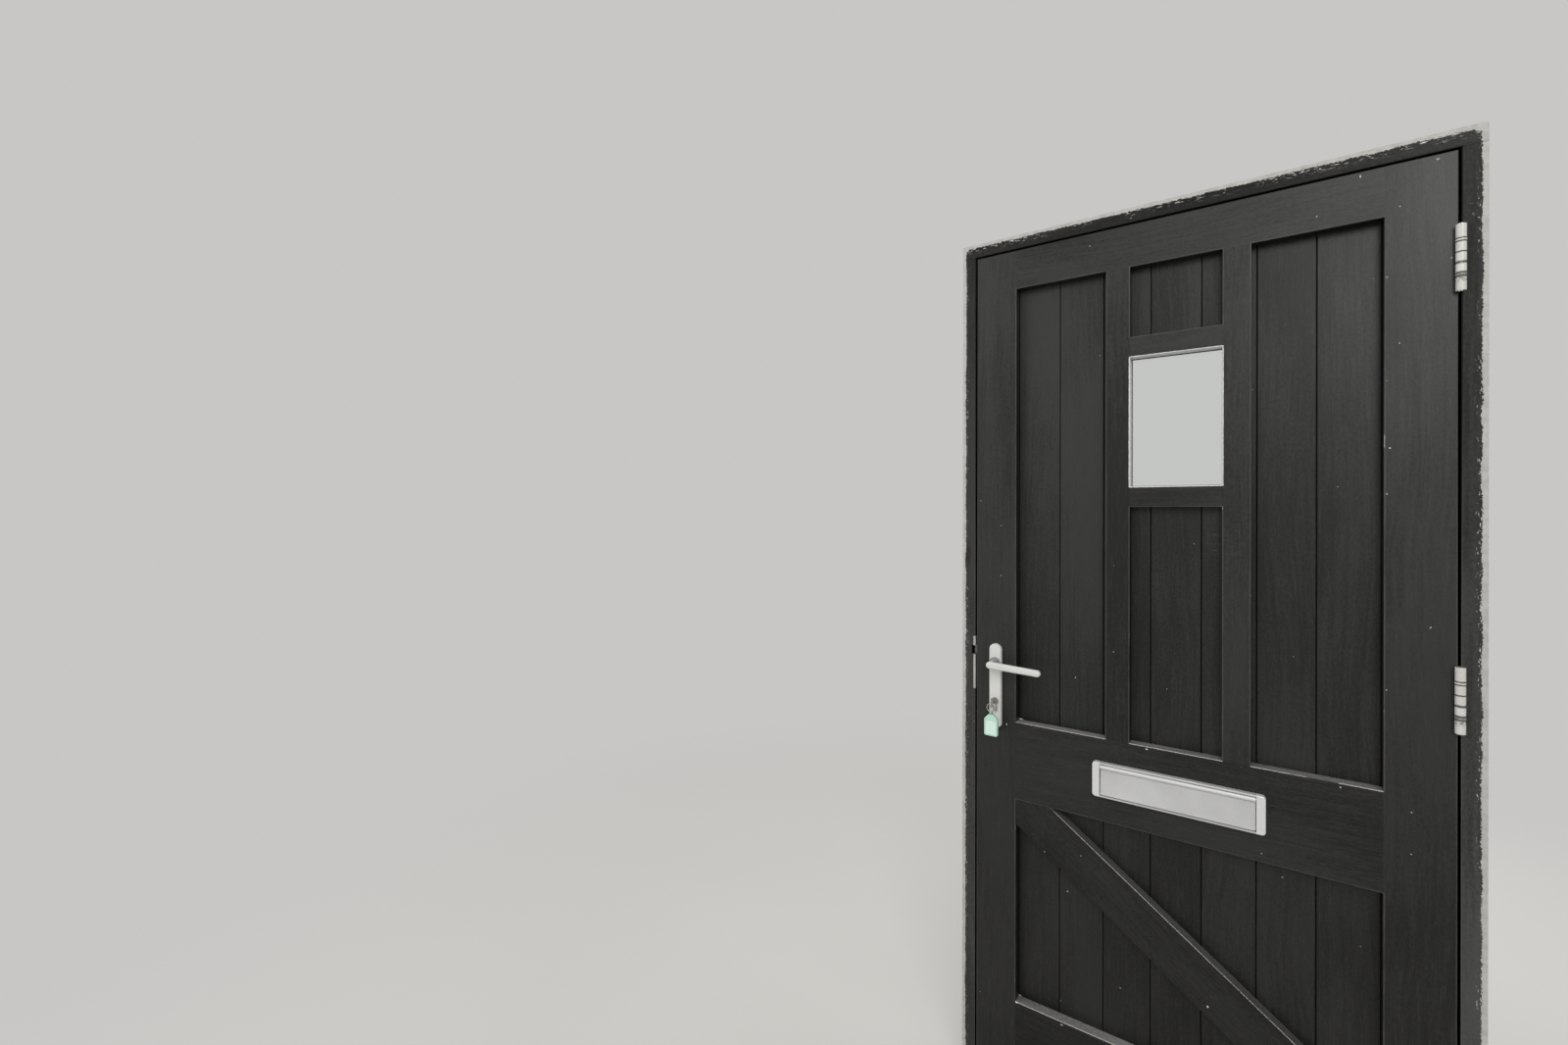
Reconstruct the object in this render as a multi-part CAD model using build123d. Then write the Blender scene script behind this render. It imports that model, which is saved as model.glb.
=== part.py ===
from build123d import *
import math
import os

os.makedirs("parts", exist_ok=True)

# A framed, ledged and braced front door in its own frame, seen from the room: +X runs along the
# door to the hinge side, +Y to the outside and +Z up. X = 0 is the middle of the leaf, Y = 0 the
# middle of the frame's depth and Z = 0 the underside of the sill.

# Door frame
frame_depth = 70
jamb_width = 45
stop_height = 12
rebate_depth = 47
sill_seat = 38
sill_nose = 35
sill_nose_height = 24
drip_groove = 6
water_bar_height = 12
water_bar_thickness = 6
water_bar_let_in = 8
fixing_hole = 8
fixing_end = 129.5
fixing_count = 4
seal_width = 9
seal_height = 2.7
seal_base = 1.2
seal_shoulder = 1

# Leaf
leaf_width = 838
leaf_height = 1981
leaf_thickness = 44
side_gap = 3
head_gap = 3
sill_gap = 4
stile_width = 94.5
muntin_width = 47.3
sight_width = 166.4
top_rail_height = 91.5
top_panel_height = 151
glazing_rail_height = 44
sight_height = 278
lock_rail_height = 183
lower_opening_height = 479.6
bottom_rail_height = 201
brace_width = 94
arris = 1.5

# Tongued and grooved boards
board_count = 7
board_thickness = 18
board_cover = 12
v_joint = 1.6
tongue_length = 6
tongue_thickness = 6
tongue_clearance = 0.25

# Glazing
glass_thickness = 6
glass_cover = 9
glass_clearance = 2.5
tape_thickness = 1
tape_lip = 1.6
bead_bevel = 5

# Hinges
hinge_bottom = 250
hinge_top = 187
hinge_middle_rise = 22
knuckle_radius = 6.9
knuckle_standoff = 7.4
knuckle_end = 24
knuckle_middle = 17.6
bearing_height = 5.2
bearing_radius = 7.2
knuckle_gap = 0.4
pin_radius = 3.5
pin_clearance = 0.2
pin_tip = 1.2
pin_tip_radius = 5.4
hinge_plate = 2.5
hinge_plate_depth = 30
hinge_corner = 5
hinge_screw_rows = (-40, -13, 13, 40)
hinge_screw_stagger = 6

# Wood screws
screw_head_radius = 4
screw_head_depth = 2.2
screw_shank_radius = 2
screw_length = 28

# Lock
backset = 48
spindle_height = 1000
cylinder_drop = 92
latch_rise = 22
deadbolt_drop = 45
spindle_size = 8
socket_clearance = 0.1
case_depth = 74
case_thickness = 16
case_wall = 1.5
case_above = 34.5
case_below = 122
mortise_clearance = 0.5
case_hole_clearance = 0.4
forend_thickness = 3
forend_width = 22
forend_past_case = 20
forend_screw_inset = 9
latch_height = 20
latch_thickness = 12
latch_throw = 11
latch_length = 26
latch_nose = 2
tail_height = 6
tail_drop = 8
tail_width = 10
tail_bridge = 3
follower_radius = 9.5
follower_arm = 20
follower_arm_width = 4
follower_arm_thickness = 5
arm_window = 9.6
deadbolt_height = 22
deadbolt_thickness = 10
deadbolt_throw = 20
deadbolt_length = 36
deadbolt_chamfer = 0.8
bolt_clearance = 0.3
spring_radius = 3
spring_wire = 0.9
spring_turns = 7

# Strike plate
strike_height = 128
strike_above_spindle = 56
strike_width = 34
strike_thickness = 2
strike_lip = 5
strike_lip_thickness = 1
strike_screw_inset = 10
keep_clearance = 1.5
pocket_clearance = 2.5

# Cylinder and key
plug_radius = 6.5
plug_clearance = 0.2
euro_radius = 8.5
euro_web = 10
euro_height = 33
cylinder_projection = 2.5
cam_thickness = 9.4
cam_gap = 0.3
cam_hub = 8
cam_radius = 13.5
cylinder_screw_drop = 18.5
cylinder_screw_radius = 2.5
cylinder_screw_head = 4.2
key_thickness = 2.2
key_blade_height = 8
key_blade_length = 25
keyway_clearance = 0.2
key_shoulder = 2
key_bow_length = 26
key_bow_height = 22
key_bow_corner = 9
key_hole_inset = 5.5
key_hole_radius = 2.7
key_cuts = 4
key_cut_depth = 1.8
ring_radius = 10.1
ring_wire = 0.9
ring_rest_gap = 0.9
tag_rest_gap = 0.4
tag_eye_wall = 1.8
tag_eye_width = 4
tag_thickness = 4.5
tag_width = 31.5
tag_reach = 76.5
tag_body_height = 39
tag_neck_width = 10
tag_corner = 4
tag_label_margin = 2.5
tag_label_depth = 0.4

# Door handles
plate_width = 28.5
plate_above = 44.5
plate_below = 155
plate_thickness = 10
plate_bottom_corner = 9
plate_round = 3.5
collar_radius = 13
collar_height = 3
neck_radius = 10
neck_top_radius = 8
turning_clearance = 0.3
lever_reach = 46
lever_thickness = 12
lever_root_radius = 8.3
lever_tip_radius = 7.6
lever_length = 108
lever_droop = 4
lever_round = 4.5
neck_wall = 2
handle_screw_above = 39
handle_screw_below = 139
handle_screw_radius = 2.5
handle_screw_head = 4.5
handle_screw_depth = 7

# Letter plate
letter_height = 775
letter_length = 310
letter_width = 76
letter_corner = 7
letter_projection = 12
letter_base = 3
letter_round = 2.5
letter_end = 15
letter_top_rim = 4
letter_bottom_rim = 5
slot_bolt_gap = 8
slot_height = 42
sleeve_wall = 2
sleeve_clearance = 0.5
flap_gap = 0.8
flap_thickness = 2.5
flap_front = 9.6
flap_rod_radius = 4.8
flap_lip = 2.5
flap_lip_projection = 12.6
flap_pin_radius = 2
flap_pin_length = 8
letter_bolt_inset = 7
letter_bolt_radius = 2
letter_bolt_head = 3.8

# Places worked out from the sizes
room_face = -frame_depth / 2
outer_face = frame_depth / 2
stop_face = room_face + rebate_depth
leaf_back = room_face + leaf_thickness
leaf_middle = (room_face + leaf_back) / 2
board_front = leaf_back - board_thickness
half_leaf = leaf_width / 2
half_rebate = half_leaf + side_gap
half_frame = half_rebate + jamb_width - stop_height
leaf_bottom = sill_seat + sill_gap
leaf_top = leaf_bottom + leaf_height
head_seat = leaf_top + head_gap
frame_top = head_seat + jamb_width - stop_height
half_bay = half_leaf - stile_width
half_sight = sight_width / 2
muntin_far = half_sight + muntin_width
top_rail_bottom = leaf_top - top_rail_height
bottom_rail_top = leaf_bottom + bottom_rail_height
lock_rail_bottom = bottom_rail_top + lower_opening_height
lock_rail_top = lock_rail_bottom + lock_rail_height
top_panel_bottom = top_rail_bottom - top_panel_height
sight_top = top_panel_bottom - glazing_rail_height
sight_bottom = sight_top - sight_height
centre_panel_top = sight_bottom - glazing_rail_height
board_width = 2 * half_bay / board_count
board_top = top_rail_bottom + board_cover
groove_depth = tongue_length + 2 * tongue_clearance
half_groove = tongue_thickness / 2 + tongue_clearance
board_middle = (board_front + leaf_back) / 2
half_pane = half_sight + glass_cover
half_glass_hole = half_pane + glass_clearance
hinge_x = half_leaf + side_gap / 2
hinge_y = room_face - knuckle_standoff
hinge_height = 2 * knuckle_end + 2 * bearing_height + 3 * knuckle_middle + 2 * knuckle_gap
hinge_plate_back = room_face + hinge_plate_depth
low_hinge = leaf_bottom + hinge_bottom
high_hinge = leaf_top - hinge_top
hinge_centres = [low_hinge, (low_hinge + high_hinge) / 2 + hinge_middle_rise, high_hinge]
spindle_x = -half_leaf + backset
spindle_z = leaf_bottom + spindle_height
cylinder_z = spindle_z - cylinder_drop
latch_z = spindle_z + latch_rise
deadbolt_z = spindle_z - deadbolt_drop
case_front = -half_leaf + forend_thickness
case_top = spindle_z + case_above
case_bottom = spindle_z - case_below
plate_front = room_face - plate_thickness
cylinder_face = plate_front - cylinder_projection
key_hole_y = cylinder_face - key_shoulder - key_bow_length + key_hole_inset
ring_top_z = cylinder_z - key_hole_radius + ring_wire + ring_rest_gap
ring_z = ring_top_z - ring_radius
tag_eye_radius = key_hole_radius
tag_eye_z = ring_z - ring_radius - tag_eye_radius + ring_wire + tag_rest_gap
tag_bottom = cylinder_z - tag_reach
strike_top = spindle_z + strike_above_spindle
strike_bottom = strike_top - strike_height
letter_z = leaf_bottom + letter_height
letter_bolt_x = letter_length / 2 - letter_end - letter_bolt_inset
half_slot = letter_bolt_x - slot_bolt_gap
flap_top = letter_z + letter_width / 2 - letter_top_rim - flap_gap
flap_bottom = letter_z - letter_width / 2 + letter_bottom_rim + flap_gap
rod_z = flap_top - flap_rod_radius
rod_y = room_face - letter_base - flap_gap - flap_rod_radius
outside = Plane(origin=(0, leaf_middle, 0), z_dir=(0, 1, 0))


def block(x0, x1, y0, y1, z0, z1):
    centre = Pos((x0 + x1) / 2, (y0 + y1) / 2, (z0 + z1) / 2)
    return centre * Box(x1 - x0, y1 - y0, z1 - z0)


def facing(shape, y0, y1):
    """A shape drawn in X and Z, as thick as y0 to y1."""
    return Pos(0, y1, 0) * extrude(Plane.XZ * shape, y1 - y0, dir=(0, -1, 0))


def upright(shape, z0, z1):
    """A section drawn in X and Y, as tall as z0 to z1."""
    return Pos(0, 0, z0) * extrude(shape, z1 - z0, dir=(0, 0, 1))


def crosswise(shape, x0, x1):
    """A section drawn in Y and Z, as long as x0 to x1."""
    return Pos(x0, 0, 0) * extrude(Plane.YZ * shape, x1 - x0, dir=(1, 0, 0))


def polygon(*points):
    """A polygon through its points, listed in either order round it."""
    turns = sum(x0 * y1 - x1 * y0 for (x0, y0), (x1, y1) in zip(points, points[1:] + points[:1]))
    return Polygon(*(points if turns > 0 else points[::-1]), align=None)


def rod_x(radius, x0, x1, y, z):
    return Pos((x0 + x1) / 2, y, z) * Rot(0, 90, 0) * Cylinder(radius, x1 - x0)


def rod_y_way(radius, x, y0, y1, z):
    return Pos(x, (y0 + y1) / 2, z) * Rot(90, 0, 0) * Cylinder(radius, y1 - y0)


def rod_z_way(radius, x, y, z0, z1):
    return Pos(x, y, (z0 + z1) / 2) * Cylinder(radius, z1 - z0)


def front_edges(shape):
    """The edges that lie in the face nearest the room."""
    return shape.edges().group_by(Axis.Y)[0]


def save(name, shape):
    export_step(shape, "parts/" + name + ".step")


def save_group(name, shapes):
    export_step(Compound(children=[part for shape in shapes for part in shape.solids()]),
                "parts/" + name + ".step")


def screw_x(head_x, direction, y, z):
    """A countersunk wood screw along X, its flat head at head_x."""
    shank = rod_x(screw_shank_radius, 0, screw_length, 0, 0)
    head = Rot(0, 90, 0) * Cone(screw_head_radius, screw_shank_radius, screw_head_depth)
    screw = shank + Pos(screw_head_depth / 2, 0, 0) * head
    turn = 0 if direction > 0 else 180
    return Pos(head_x, y, z) * Rot(0, 0, turn) * screw


def euro_profile(grow=0.0):
    """The outline of a profile cylinder, drawn round the plug's axis."""
    web_radius = euro_web / 2 + grow
    foot = -(euro_height - euro_radius) + euro_web / 2
    outline = Circle(euro_radius + grow)
    outline += Pos(0, foot / 2) * Rectangle(2 * web_radius, -foot)
    outline += Pos(0, foot) * Circle(web_radius)
    return Pos(spindle_x, cylinder_z) * outline


# Screws of the hinges, the forend and the strike plate
def hinge_screw_places():
    middle = (room_face + hinge_plate_back) / 2
    for centre in hinge_centres:
        for number, row in enumerate(hinge_screw_rows):
            shift = hinge_screw_stagger if number % 2 else -hinge_screw_stagger
            yield middle + shift, centre + row


forend_top = case_top + forend_past_case
forend_bottom = case_bottom - forend_past_case
door_screw_list = [screw_x(half_leaf, -1, y, z) for y, z in hinge_screw_places()]
for screw_z in (forend_top - forend_screw_inset, forend_bottom + forend_screw_inset):
    door_screw_list.append(screw_x(-half_leaf, 1, leaf_middle, screw_z))

strike_middle = room_face + strike_width / 2
frame_screw_list = [screw_x(half_rebate, 1, y, z) for y, z in hinge_screw_places()]
for screw_z in (strike_top - strike_screw_inset, strike_bottom + strike_screw_inset):
    frame_screw_list.append(screw_x(-half_rebate, -1, strike_middle, screw_z))


# Frame: sill, head and jambs, rebated for a leaf that opens into the room
def frame_section(seat, thickness, height):
    """The rebated section of a jamb or the head, drawn outwards from the opening and across."""
    return polygon((seat, room_face), (seat + thickness, room_face), (seat + thickness, outer_face),
                   (seat - height, outer_face), (seat - height, stop_face), (seat, stop_face))


def make_sill():
    """A sill that falls outwards to its nose, with a drip groove under it."""
    nose = outer_face + sill_nose
    section = polygon((room_face, 0), (nose, 0), (nose, sill_nose_height),
                      (outer_face, sill_seat), (room_face, sill_seat))
    sill = crosswise(section, -half_frame, half_frame)
    groove_y = nose - 2 * drip_groove
    sill -= rod_x(drip_groove / 2, -half_frame, half_frame, groove_y, 0)
    nose_edge = sill.edges().filter_by(Axis.X).sort_by(Axis.Y)[-2:]
    return fillet(nose_edge, arris)


def make_head():
    section = frame_section(head_seat, jamb_width - stop_height, stop_height)
    head = crosswise(mirror(Rot(0, 0, 90) * section, Plane.YZ), -half_frame, half_frame)
    arris_edge = head.edges().filter_by(Axis.X).group_by(Axis.Y)[0].sort_by(Axis.Z)[0]
    return fillet(arris_edge, arris)


def make_jamb(side):
    section = frame_section(half_rebate, jamb_width - stop_height, stop_height)
    jamb = upright(section, sill_seat, head_seat)
    arris_edge = jamb.edges().filter_by(Axis.Z).group_by(Axis.Y)[0].sort_by(Axis.X)[0]
    jamb = fillet(arris_edge, arris)
    fixing_y = (room_face + stop_face) / 2
    fixing_pitch = (frame_top - 2 * fixing_end) / (fixing_count - 1)
    for number in range(fixing_count):
        z = fixing_end + number * fixing_pitch
        jamb -= rod_x(fixing_hole / 2, half_rebate, half_frame, fixing_y, z)
    if side < 0:
        jamb = mirror(jamb, Plane.YZ)
    return jamb


half_stops = half_rebate - stop_height
water_bar = block(-half_stops, half_stops, stop_face, stop_face + water_bar_thickness,
                  sill_seat - water_bar_let_in, sill_seat + water_bar_height)
sill = make_sill() - water_bar
head = make_head()
jamb_pair = {side: make_jamb(side) - head for side in (-1, 1)}

# Keep: the strike plate's recess, the deadbolt's pocket and the latch's notch in the lock jamb
latch_back = leaf_middle + latch_thickness / 2
swing_reach = math.hypot(hinge_x + half_leaf + latch_throw, latch_back - hinge_y)
latch_sweep = hinge_x - swing_reach - keep_clearance
half_latch_keep = latch_height / 2 + keep_clearance
latch_notch = block(latch_sweep, -half_leaf, room_face - strike_lip_thickness,
                    latch_back + keep_clearance, latch_z - half_latch_keep, latch_z + half_latch_keep)
half_bolt_keep = deadbolt_height / 2 + keep_clearance
deadbolt_pocket = block(-half_leaf - deadbolt_throw - pocket_clearance, -half_rebate,
                        leaf_middle - deadbolt_thickness / 2 - keep_clearance,
                        leaf_middle + deadbolt_thickness / 2 + keep_clearance,
                        deadbolt_z - half_bolt_keep, deadbolt_z + half_bolt_keep)


def make_strike_plate():
    lip_front = room_face - strike_lip_thickness
    plate = block(-half_rebate - strike_thickness, -half_rebate, lip_front, room_face + strike_width,
                  strike_bottom, strike_top)
    lip = block(-half_rebate - strike_lip, -half_rebate - arris, lip_front, room_face,
                strike_bottom, strike_top)
    return plate + lip


def hinge_plate_blank(side, centre):
    """A hinge leaf's plate, let in flush: side +1 is on the jamb, -1 on the door."""
    face = hinge_x + side * side_gap / 2
    outline = Rectangle(hinge_plate_back - hinge_y, hinge_height)
    middle_y = (hinge_plate_back + hinge_y) / 2
    plate = crosswise(Pos(middle_y, centre) * outline, 0, hinge_plate)
    corners = plate.edges().filter_by(Axis.X).group_by(Axis.Y)[-1]
    plate = fillet(corners, hinge_corner)
    return Pos(face if side > 0 else face - hinge_plate, 0, 0) * plate


strike_plate = make_strike_plate()
lock_jamb = jamb_pair[-1] - strike_plate - latch_notch - deadbolt_pocket
hinge_jamb = jamb_pair[1]
for centre in hinge_centres:
    hinge_jamb -= hinge_plate_blank(1, centre)
for screw in frame_screw_list:
    lock_jamb -= screw
    hinge_jamb -= screw
    strike_plate -= screw
strike_plate = strike_plate - latch_notch - deadbolt_pocket

save("sill", sill)
save("water_bar", water_bar)
save("head", head)
save("lock_jamb", lock_jamb)
save("hinge_jamb", hinge_jamb)
save("strike_plate", strike_plate)
save_group("frame_screws", frame_screw_list)


# Weather seals on the stop, clear of the leaf's back
def seal_section(position):
    """A base strip with a rounded lip, drawn across the stop's face."""
    base = Pos(position, stop_face - seal_base / 2) * Rectangle(seal_width, seal_base)
    lip = Pos(position, stop_face - seal_base) * Ellipse(seal_width / 2 - seal_shoulder,
                                                             seal_height - seal_base)
    keep = Pos(position, stop_face - seal_height / 2) * Rectangle(seal_width, seal_height)
    return (base + lip) & keep


seal_x = half_rebate - stop_height / 2
seal_z = head_seat - stop_height / 2
side_seal = upright(seal_section(seal_x), sill_seat, head_seat - stop_height)
save("hinge_side_seal", side_seal)
save("lock_side_seal", mirror(side_seal, Plane.YZ))
head_seal_section = mirror(Rot(0, 0, 90) * seal_section(seal_z), Plane.YZ)
save("head_seal", crosswise(head_seal_section, -half_stops, half_stops))


# Hinges: five knuckles on a loose pin, with bearing rings inside the end knuckles
def knuckle_spans(centre):
    """The five knuckles from the bottom up, as pairs of heights."""
    spans = []
    z = centre - hinge_height / 2
    for number in range(5):
        tall = knuckle_end if number in (0, 4) else knuckle_middle
        spans.append((z, z + tall))
        z += tall + (bearing_height if number in (0, 3) else knuckle_gap)
    return spans


def hinge_leaf(side, centre):
    leaf = hinge_plate_blank(side, centre)
    spans = knuckle_spans(centre)
    own = spans[0::2] if side > 0 else spans[1::2]
    clear = rod_z_way(knuckle_radius + knuckle_gap, hinge_x, hinge_y,
                      centre - hinge_height / 2, centre + hinge_height / 2)
    leaf -= clear
    leaf &= block(hinge_x - hinge_height, hinge_x + hinge_height, room_face - knuckle_gap / 2,
                  hinge_plate_back, centre - hinge_height, centre + hinge_height)
    face = hinge_x + side * side_gap / 2
    x0, x1 = sorted((face, face + side * hinge_plate))
    for low, high in own:
        leaf += rod_z_way(knuckle_radius, hinge_x, hinge_y, low, high)
        leaf += block(x0, x1, hinge_y, room_face, low, high)
    leaf -= rod_z_way(pin_radius + pin_clearance, hinge_x, hinge_y,
                      centre - hinge_height, centre + hinge_height)
    screws = frame_screw_list if side > 0 else door_screw_list
    for screw in screws:
        if abs(screw.center().Z - centre) < hinge_height / 2:
            leaf -= screw
    return leaf


def hinge_pin(centre):
    half = hinge_height / 2
    pin = rod_z_way(pin_radius, hinge_x, hinge_y, centre - half, centre + half)
    pin += rod_z_way(pin_tip_radius, hinge_x, hinge_y, centre + half, centre + half + pin_tip)
    return pin + rod_z_way(pin_tip_radius, hinge_x, hinge_y, centre - half - pin_tip, centre - half)


def bearing_rings(centre):
    spans = knuckle_spans(centre)
    for lower, upper in ((0, 1), (3, 4)):
        z0 = spans[lower][1] + knuckle_gap / 2
        z1 = spans[upper][0] - knuckle_gap / 2
        ring = rod_z_way(bearing_radius, hinge_x, hinge_y, z0, z1)
        yield ring - rod_z_way(pin_radius + pin_clearance, hinge_x, hinge_y, z0, z1)


save_group("frame_hinge_leaves", [hinge_leaf(1, centre) for centre in hinge_centres])
save_group("door_hinge_leaves", [hinge_leaf(-1, centre) for centre in hinge_centres])
save_group("hinge_pins", [hinge_pin(centre) for centre in hinge_centres])
save_group("hinge_bearings", [ring for centre in hinge_centres for ring in bearing_rings(centre)])

# Holes through the leaf for the letter plate
sleeve_half_length = half_slot + sleeve_wall + sleeve_clearance
sleeve_half_height = slot_height / 2 + sleeve_wall + sleeve_clearance
letter_holes = block(-sleeve_half_length, sleeve_half_length, room_face, leaf_back,
                     letter_z - sleeve_half_height, letter_z + sleeve_half_height)
for side in (-1, 1):
    letter_holes += rod_y_way(letter_bolt_radius, side * letter_bolt_x, room_face, leaf_back, letter_z)

# Framing: one sheet with its openings and rounded arrises, sawn into stiles, rails and muntins
lower_opening = (-half_bay, half_bay, bottom_rail_top, lock_rail_bottom)
framing_openings = [
    (-half_bay, -muntin_far, lock_rail_top, top_rail_bottom),
    (muntin_far, half_bay, lock_rail_top, top_rail_bottom),
    (-half_sight, half_sight, top_panel_bottom, top_rail_bottom),
    (-half_sight, half_sight, sight_bottom, sight_top),
    (-half_sight, half_sight, lock_rail_top, centre_panel_top),
    lower_opening,
]
framing = block(-half_leaf, half_leaf, room_face, board_front, leaf_bottom, leaf_top)
for x0, x1, z0, z1 in framing_openings:
    framing -= block(x0, x1, room_face, board_front, z0, z1)
framing = fillet(front_edges(framing), arris)


def member(x0, x1, z0, z1):
    return framing & block(x0, x1, room_face, board_front, z0, z1)


def make_stile(side):
    x0, x1 = sorted((side * half_leaf, side * half_bay))
    stile = member(x0, x1, leaf_bottom, leaf_top)
    stile += block(x0, x1, board_front, leaf_back, leaf_bottom, leaf_top)
    g0, g1 = sorted((side * half_bay, side * (half_bay + groove_depth)))
    return stile - block(g0, g1, board_middle - half_groove, board_middle + half_groove,
                         leaf_bottom, board_top)


def make_top_rail():
    rail = member(-half_bay, half_bay, top_rail_bottom, leaf_top)
    return rail + block(-half_bay, half_bay, board_front, leaf_back, board_top, leaf_top)


def make_brace():
    """A band along the diagonal of the lower opening, its ends sawn to fit the corners."""
    x0, x1, z0, z1 = lower_opening
    length = math.hypot(x1 - x0, z1 - z0)
    slope = math.degrees(math.atan2(z0 - z1, x1 - x0))
    band = facing(Rot(0, 0, slope) * Rectangle(2 * length, brace_width), room_face, board_front)
    band = fillet(front_edges(band), arris)
    return (Pos(0, 0, (z0 + z1) / 2) * band) & block(x0, x1, room_face, board_front, z0, z1)


def lock_holes():
    """The forend's recess, the case's mortise and what passes through the lock stile."""
    half_mortise = case_thickness / 2 + mortise_clearance
    holes = block(-half_leaf, case_front, leaf_middle - forend_width / 2,
                  leaf_middle + forend_width / 2, forend_bottom, forend_top)
    holes += block(case_front, case_front + case_depth + mortise_clearance,
                   leaf_middle - half_mortise, leaf_middle + half_mortise,
                   case_bottom - mortise_clearance, case_top + mortise_clearance)
    holes += rod_y_way(neck_radius + mortise_clearance, spindle_x, room_face, leaf_back, spindle_z)
    holes += facing(euro_profile(mortise_clearance), room_face, leaf_back)
    for z in (spindle_z + handle_screw_above, spindle_z - handle_screw_below):
        holes += rod_y_way(handle_screw_radius, spindle_x, room_face, leaf_back, z)
    return holes


hinge_stile = make_stile(1)
for centre in hinge_centres:
    hinge_stile -= hinge_plate_blank(-1, centre)
lock_stile = make_stile(-1)
for screw in door_screw_list:
    hinge_stile -= screw
    lock_stile -= screw
lock_stile -= lock_holes()
save("hinge_stile", hinge_stile)
save("lock_stile", lock_stile)
save_group("door_screws", door_screw_list)
save("top_rail", make_top_rail())
save("lock_rail", member(-half_bay, half_bay, lock_rail_bottom, lock_rail_top) - letter_holes)
save("bottom_rail", member(-half_bay, half_bay, leaf_bottom, bottom_rail_top))
save("lock_side_muntin", member(-muntin_far, -half_sight, lock_rail_top, top_rail_bottom))
save("hinge_side_muntin", member(half_sight, muntin_far, lock_rail_top, top_rail_bottom))
save("upper_glazing_rail", member(-half_sight, half_sight, sight_top, top_panel_bottom))
save("lower_glazing_rail", member(-half_sight, half_sight, centre_panel_top, sight_bottom))
save("brace", make_brace())

# Boards, tongued and grooved with a V on the room side, let into grooves in both stiles
glass_hole = block(-half_glass_hole, half_glass_hole, board_front, leaf_back,
                   sight_bottom - glass_cover - glass_clearance,
                   sight_top + glass_cover + glass_clearance)


def board_section(x0, x1, first):
    low, high = board_middle - tongue_thickness / 2, board_middle + tongue_thickness / 2
    points = [(x0 + v_joint, board_front), (x1 - v_joint, board_front), (x1, board_front + v_joint),
              (x1, low), (x1 + tongue_length, low), (x1 + tongue_length, high), (x1, high),
              (x1, leaf_back), (x0, leaf_back)]
    if first:
        points += [(x0, high), (x0 - tongue_length, high), (x0 - tongue_length, low), (x0, low)]
    else:
        low, high = board_middle - half_groove, board_middle + half_groove
        points += [(x0, high), (x0 + groove_depth, high), (x0 + groove_depth, low), (x0, low)]
    return polygon(*points, (x0, board_front + v_joint))


for number in range(board_count):
    left = -half_bay + number * board_width
    board = upright(board_section(left, left + board_width, number == 0), leaf_bottom, board_top)
    board = board - glass_hole - letter_holes
    save_group("board_" + str(number + 1), [board])

# Glazing: tape against the framing, one pane, and beads mitred round it from the outside
glass_front = board_front + tape_thickness
glass_back = glass_front + glass_thickness
sight_middle = (sight_top + sight_bottom) / 2
half_pane_height = sight_height / 2 + glass_cover


def pane_ring(x_in, z_in, x_out, z_out, y0, y1):
    outline = Rectangle(2 * x_out, 2 * z_out) - Rectangle(2 * x_in, 2 * z_in)
    return facing(Pos(0, sight_middle) * outline, y0, y1)


def glazing_beads():
    """Mitred beads, bevelled towards the glass: the top one and the side one, each with its twin."""
    width = glass_cover + glass_clearance
    x_out, z_out = half_glass_hole, half_pane_height + glass_clearance
    x_in, z_in = x_out - width, z_out - width
    top = polygon((-x_out, z_out), (-x_in, z_in), (x_in, z_in), (x_out, z_out))
    side = polygon((x_in, -z_in), (x_out, -z_out), (x_out, z_out), (x_in, z_in))
    kinds = ((top, Axis.X, Axis.Z, Plane.XY), (side, Axis.Z, Axis.X, Plane.YZ))
    for outline, along, across, twin in kinds:
        bead = facing(outline, glass_back, leaf_back)
        inner_edge = bead.edges().filter_by(along).group_by(Axis.Y)[-1].sort_by(across)[0]
        bead = chamfer(inner_edge, bead_bevel)
        yield Pos(0, 0, sight_middle) * bead
        yield Pos(0, 0, sight_middle) * mirror(bead, twin)


pane = facing(Pos(0, sight_middle) * Rectangle(2 * half_pane, 2 * half_pane_height),
              glass_front, glass_back)
save("glass_pane", pane)
save("glazing_tape", pane_ring(half_sight - tape_lip, sight_height / 2 - tape_lip,
                               half_pane, half_pane_height, board_front, glass_front))
save_group("glazing_beads", list(glazing_beads()))

# Lock: mortised case with forend, latch bolt, deadbolt and the follower that the levers turn
half_case = case_thickness / 2
half_latch = latch_height / 2
half_deadbolt = deadbolt_height / 2
case_back = case_front + case_depth
outer_cylinder_face = 2 * leaf_middle - cylinder_face


def bolt_mouths(x0, x1):
    """The openings through which the latch bolt and the deadbolt slide."""
    mouths = []
    for height, thickness, z in ((latch_height, latch_thickness, latch_z),
                                 (deadbolt_height, deadbolt_thickness, deadbolt_z)):
        half_y, half_z = thickness / 2 + bolt_clearance, height / 2 + bolt_clearance
        mouths.append(block(x0, x1, leaf_middle - half_y, leaf_middle + half_y, z - half_z, z + half_z))
    return mouths


def make_lock_case():
    case = block(case_front, case_back, leaf_middle - half_case, leaf_middle + half_case,
                 case_bottom, case_top)
    inside = half_case - case_wall
    case -= block(case_front + case_wall, case_back - case_wall, leaf_middle - inside,
                  leaf_middle + inside, case_bottom + case_wall, case_top - case_wall)
    for mouth in bolt_mouths(case_front, case_front + case_wall):
        case -= mouth
    spindle_hole = spindle_size * math.sqrt(2) / 2 + 2 * turning_clearance
    case -= rod_y_way(spindle_hole, spindle_x, leaf_middle - half_case, leaf_middle + half_case,
                      spindle_z)
    case -= facing(euro_profile(case_hole_clearance), leaf_middle - half_case, leaf_middle + half_case)
    return case - cylinder_screw


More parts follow.
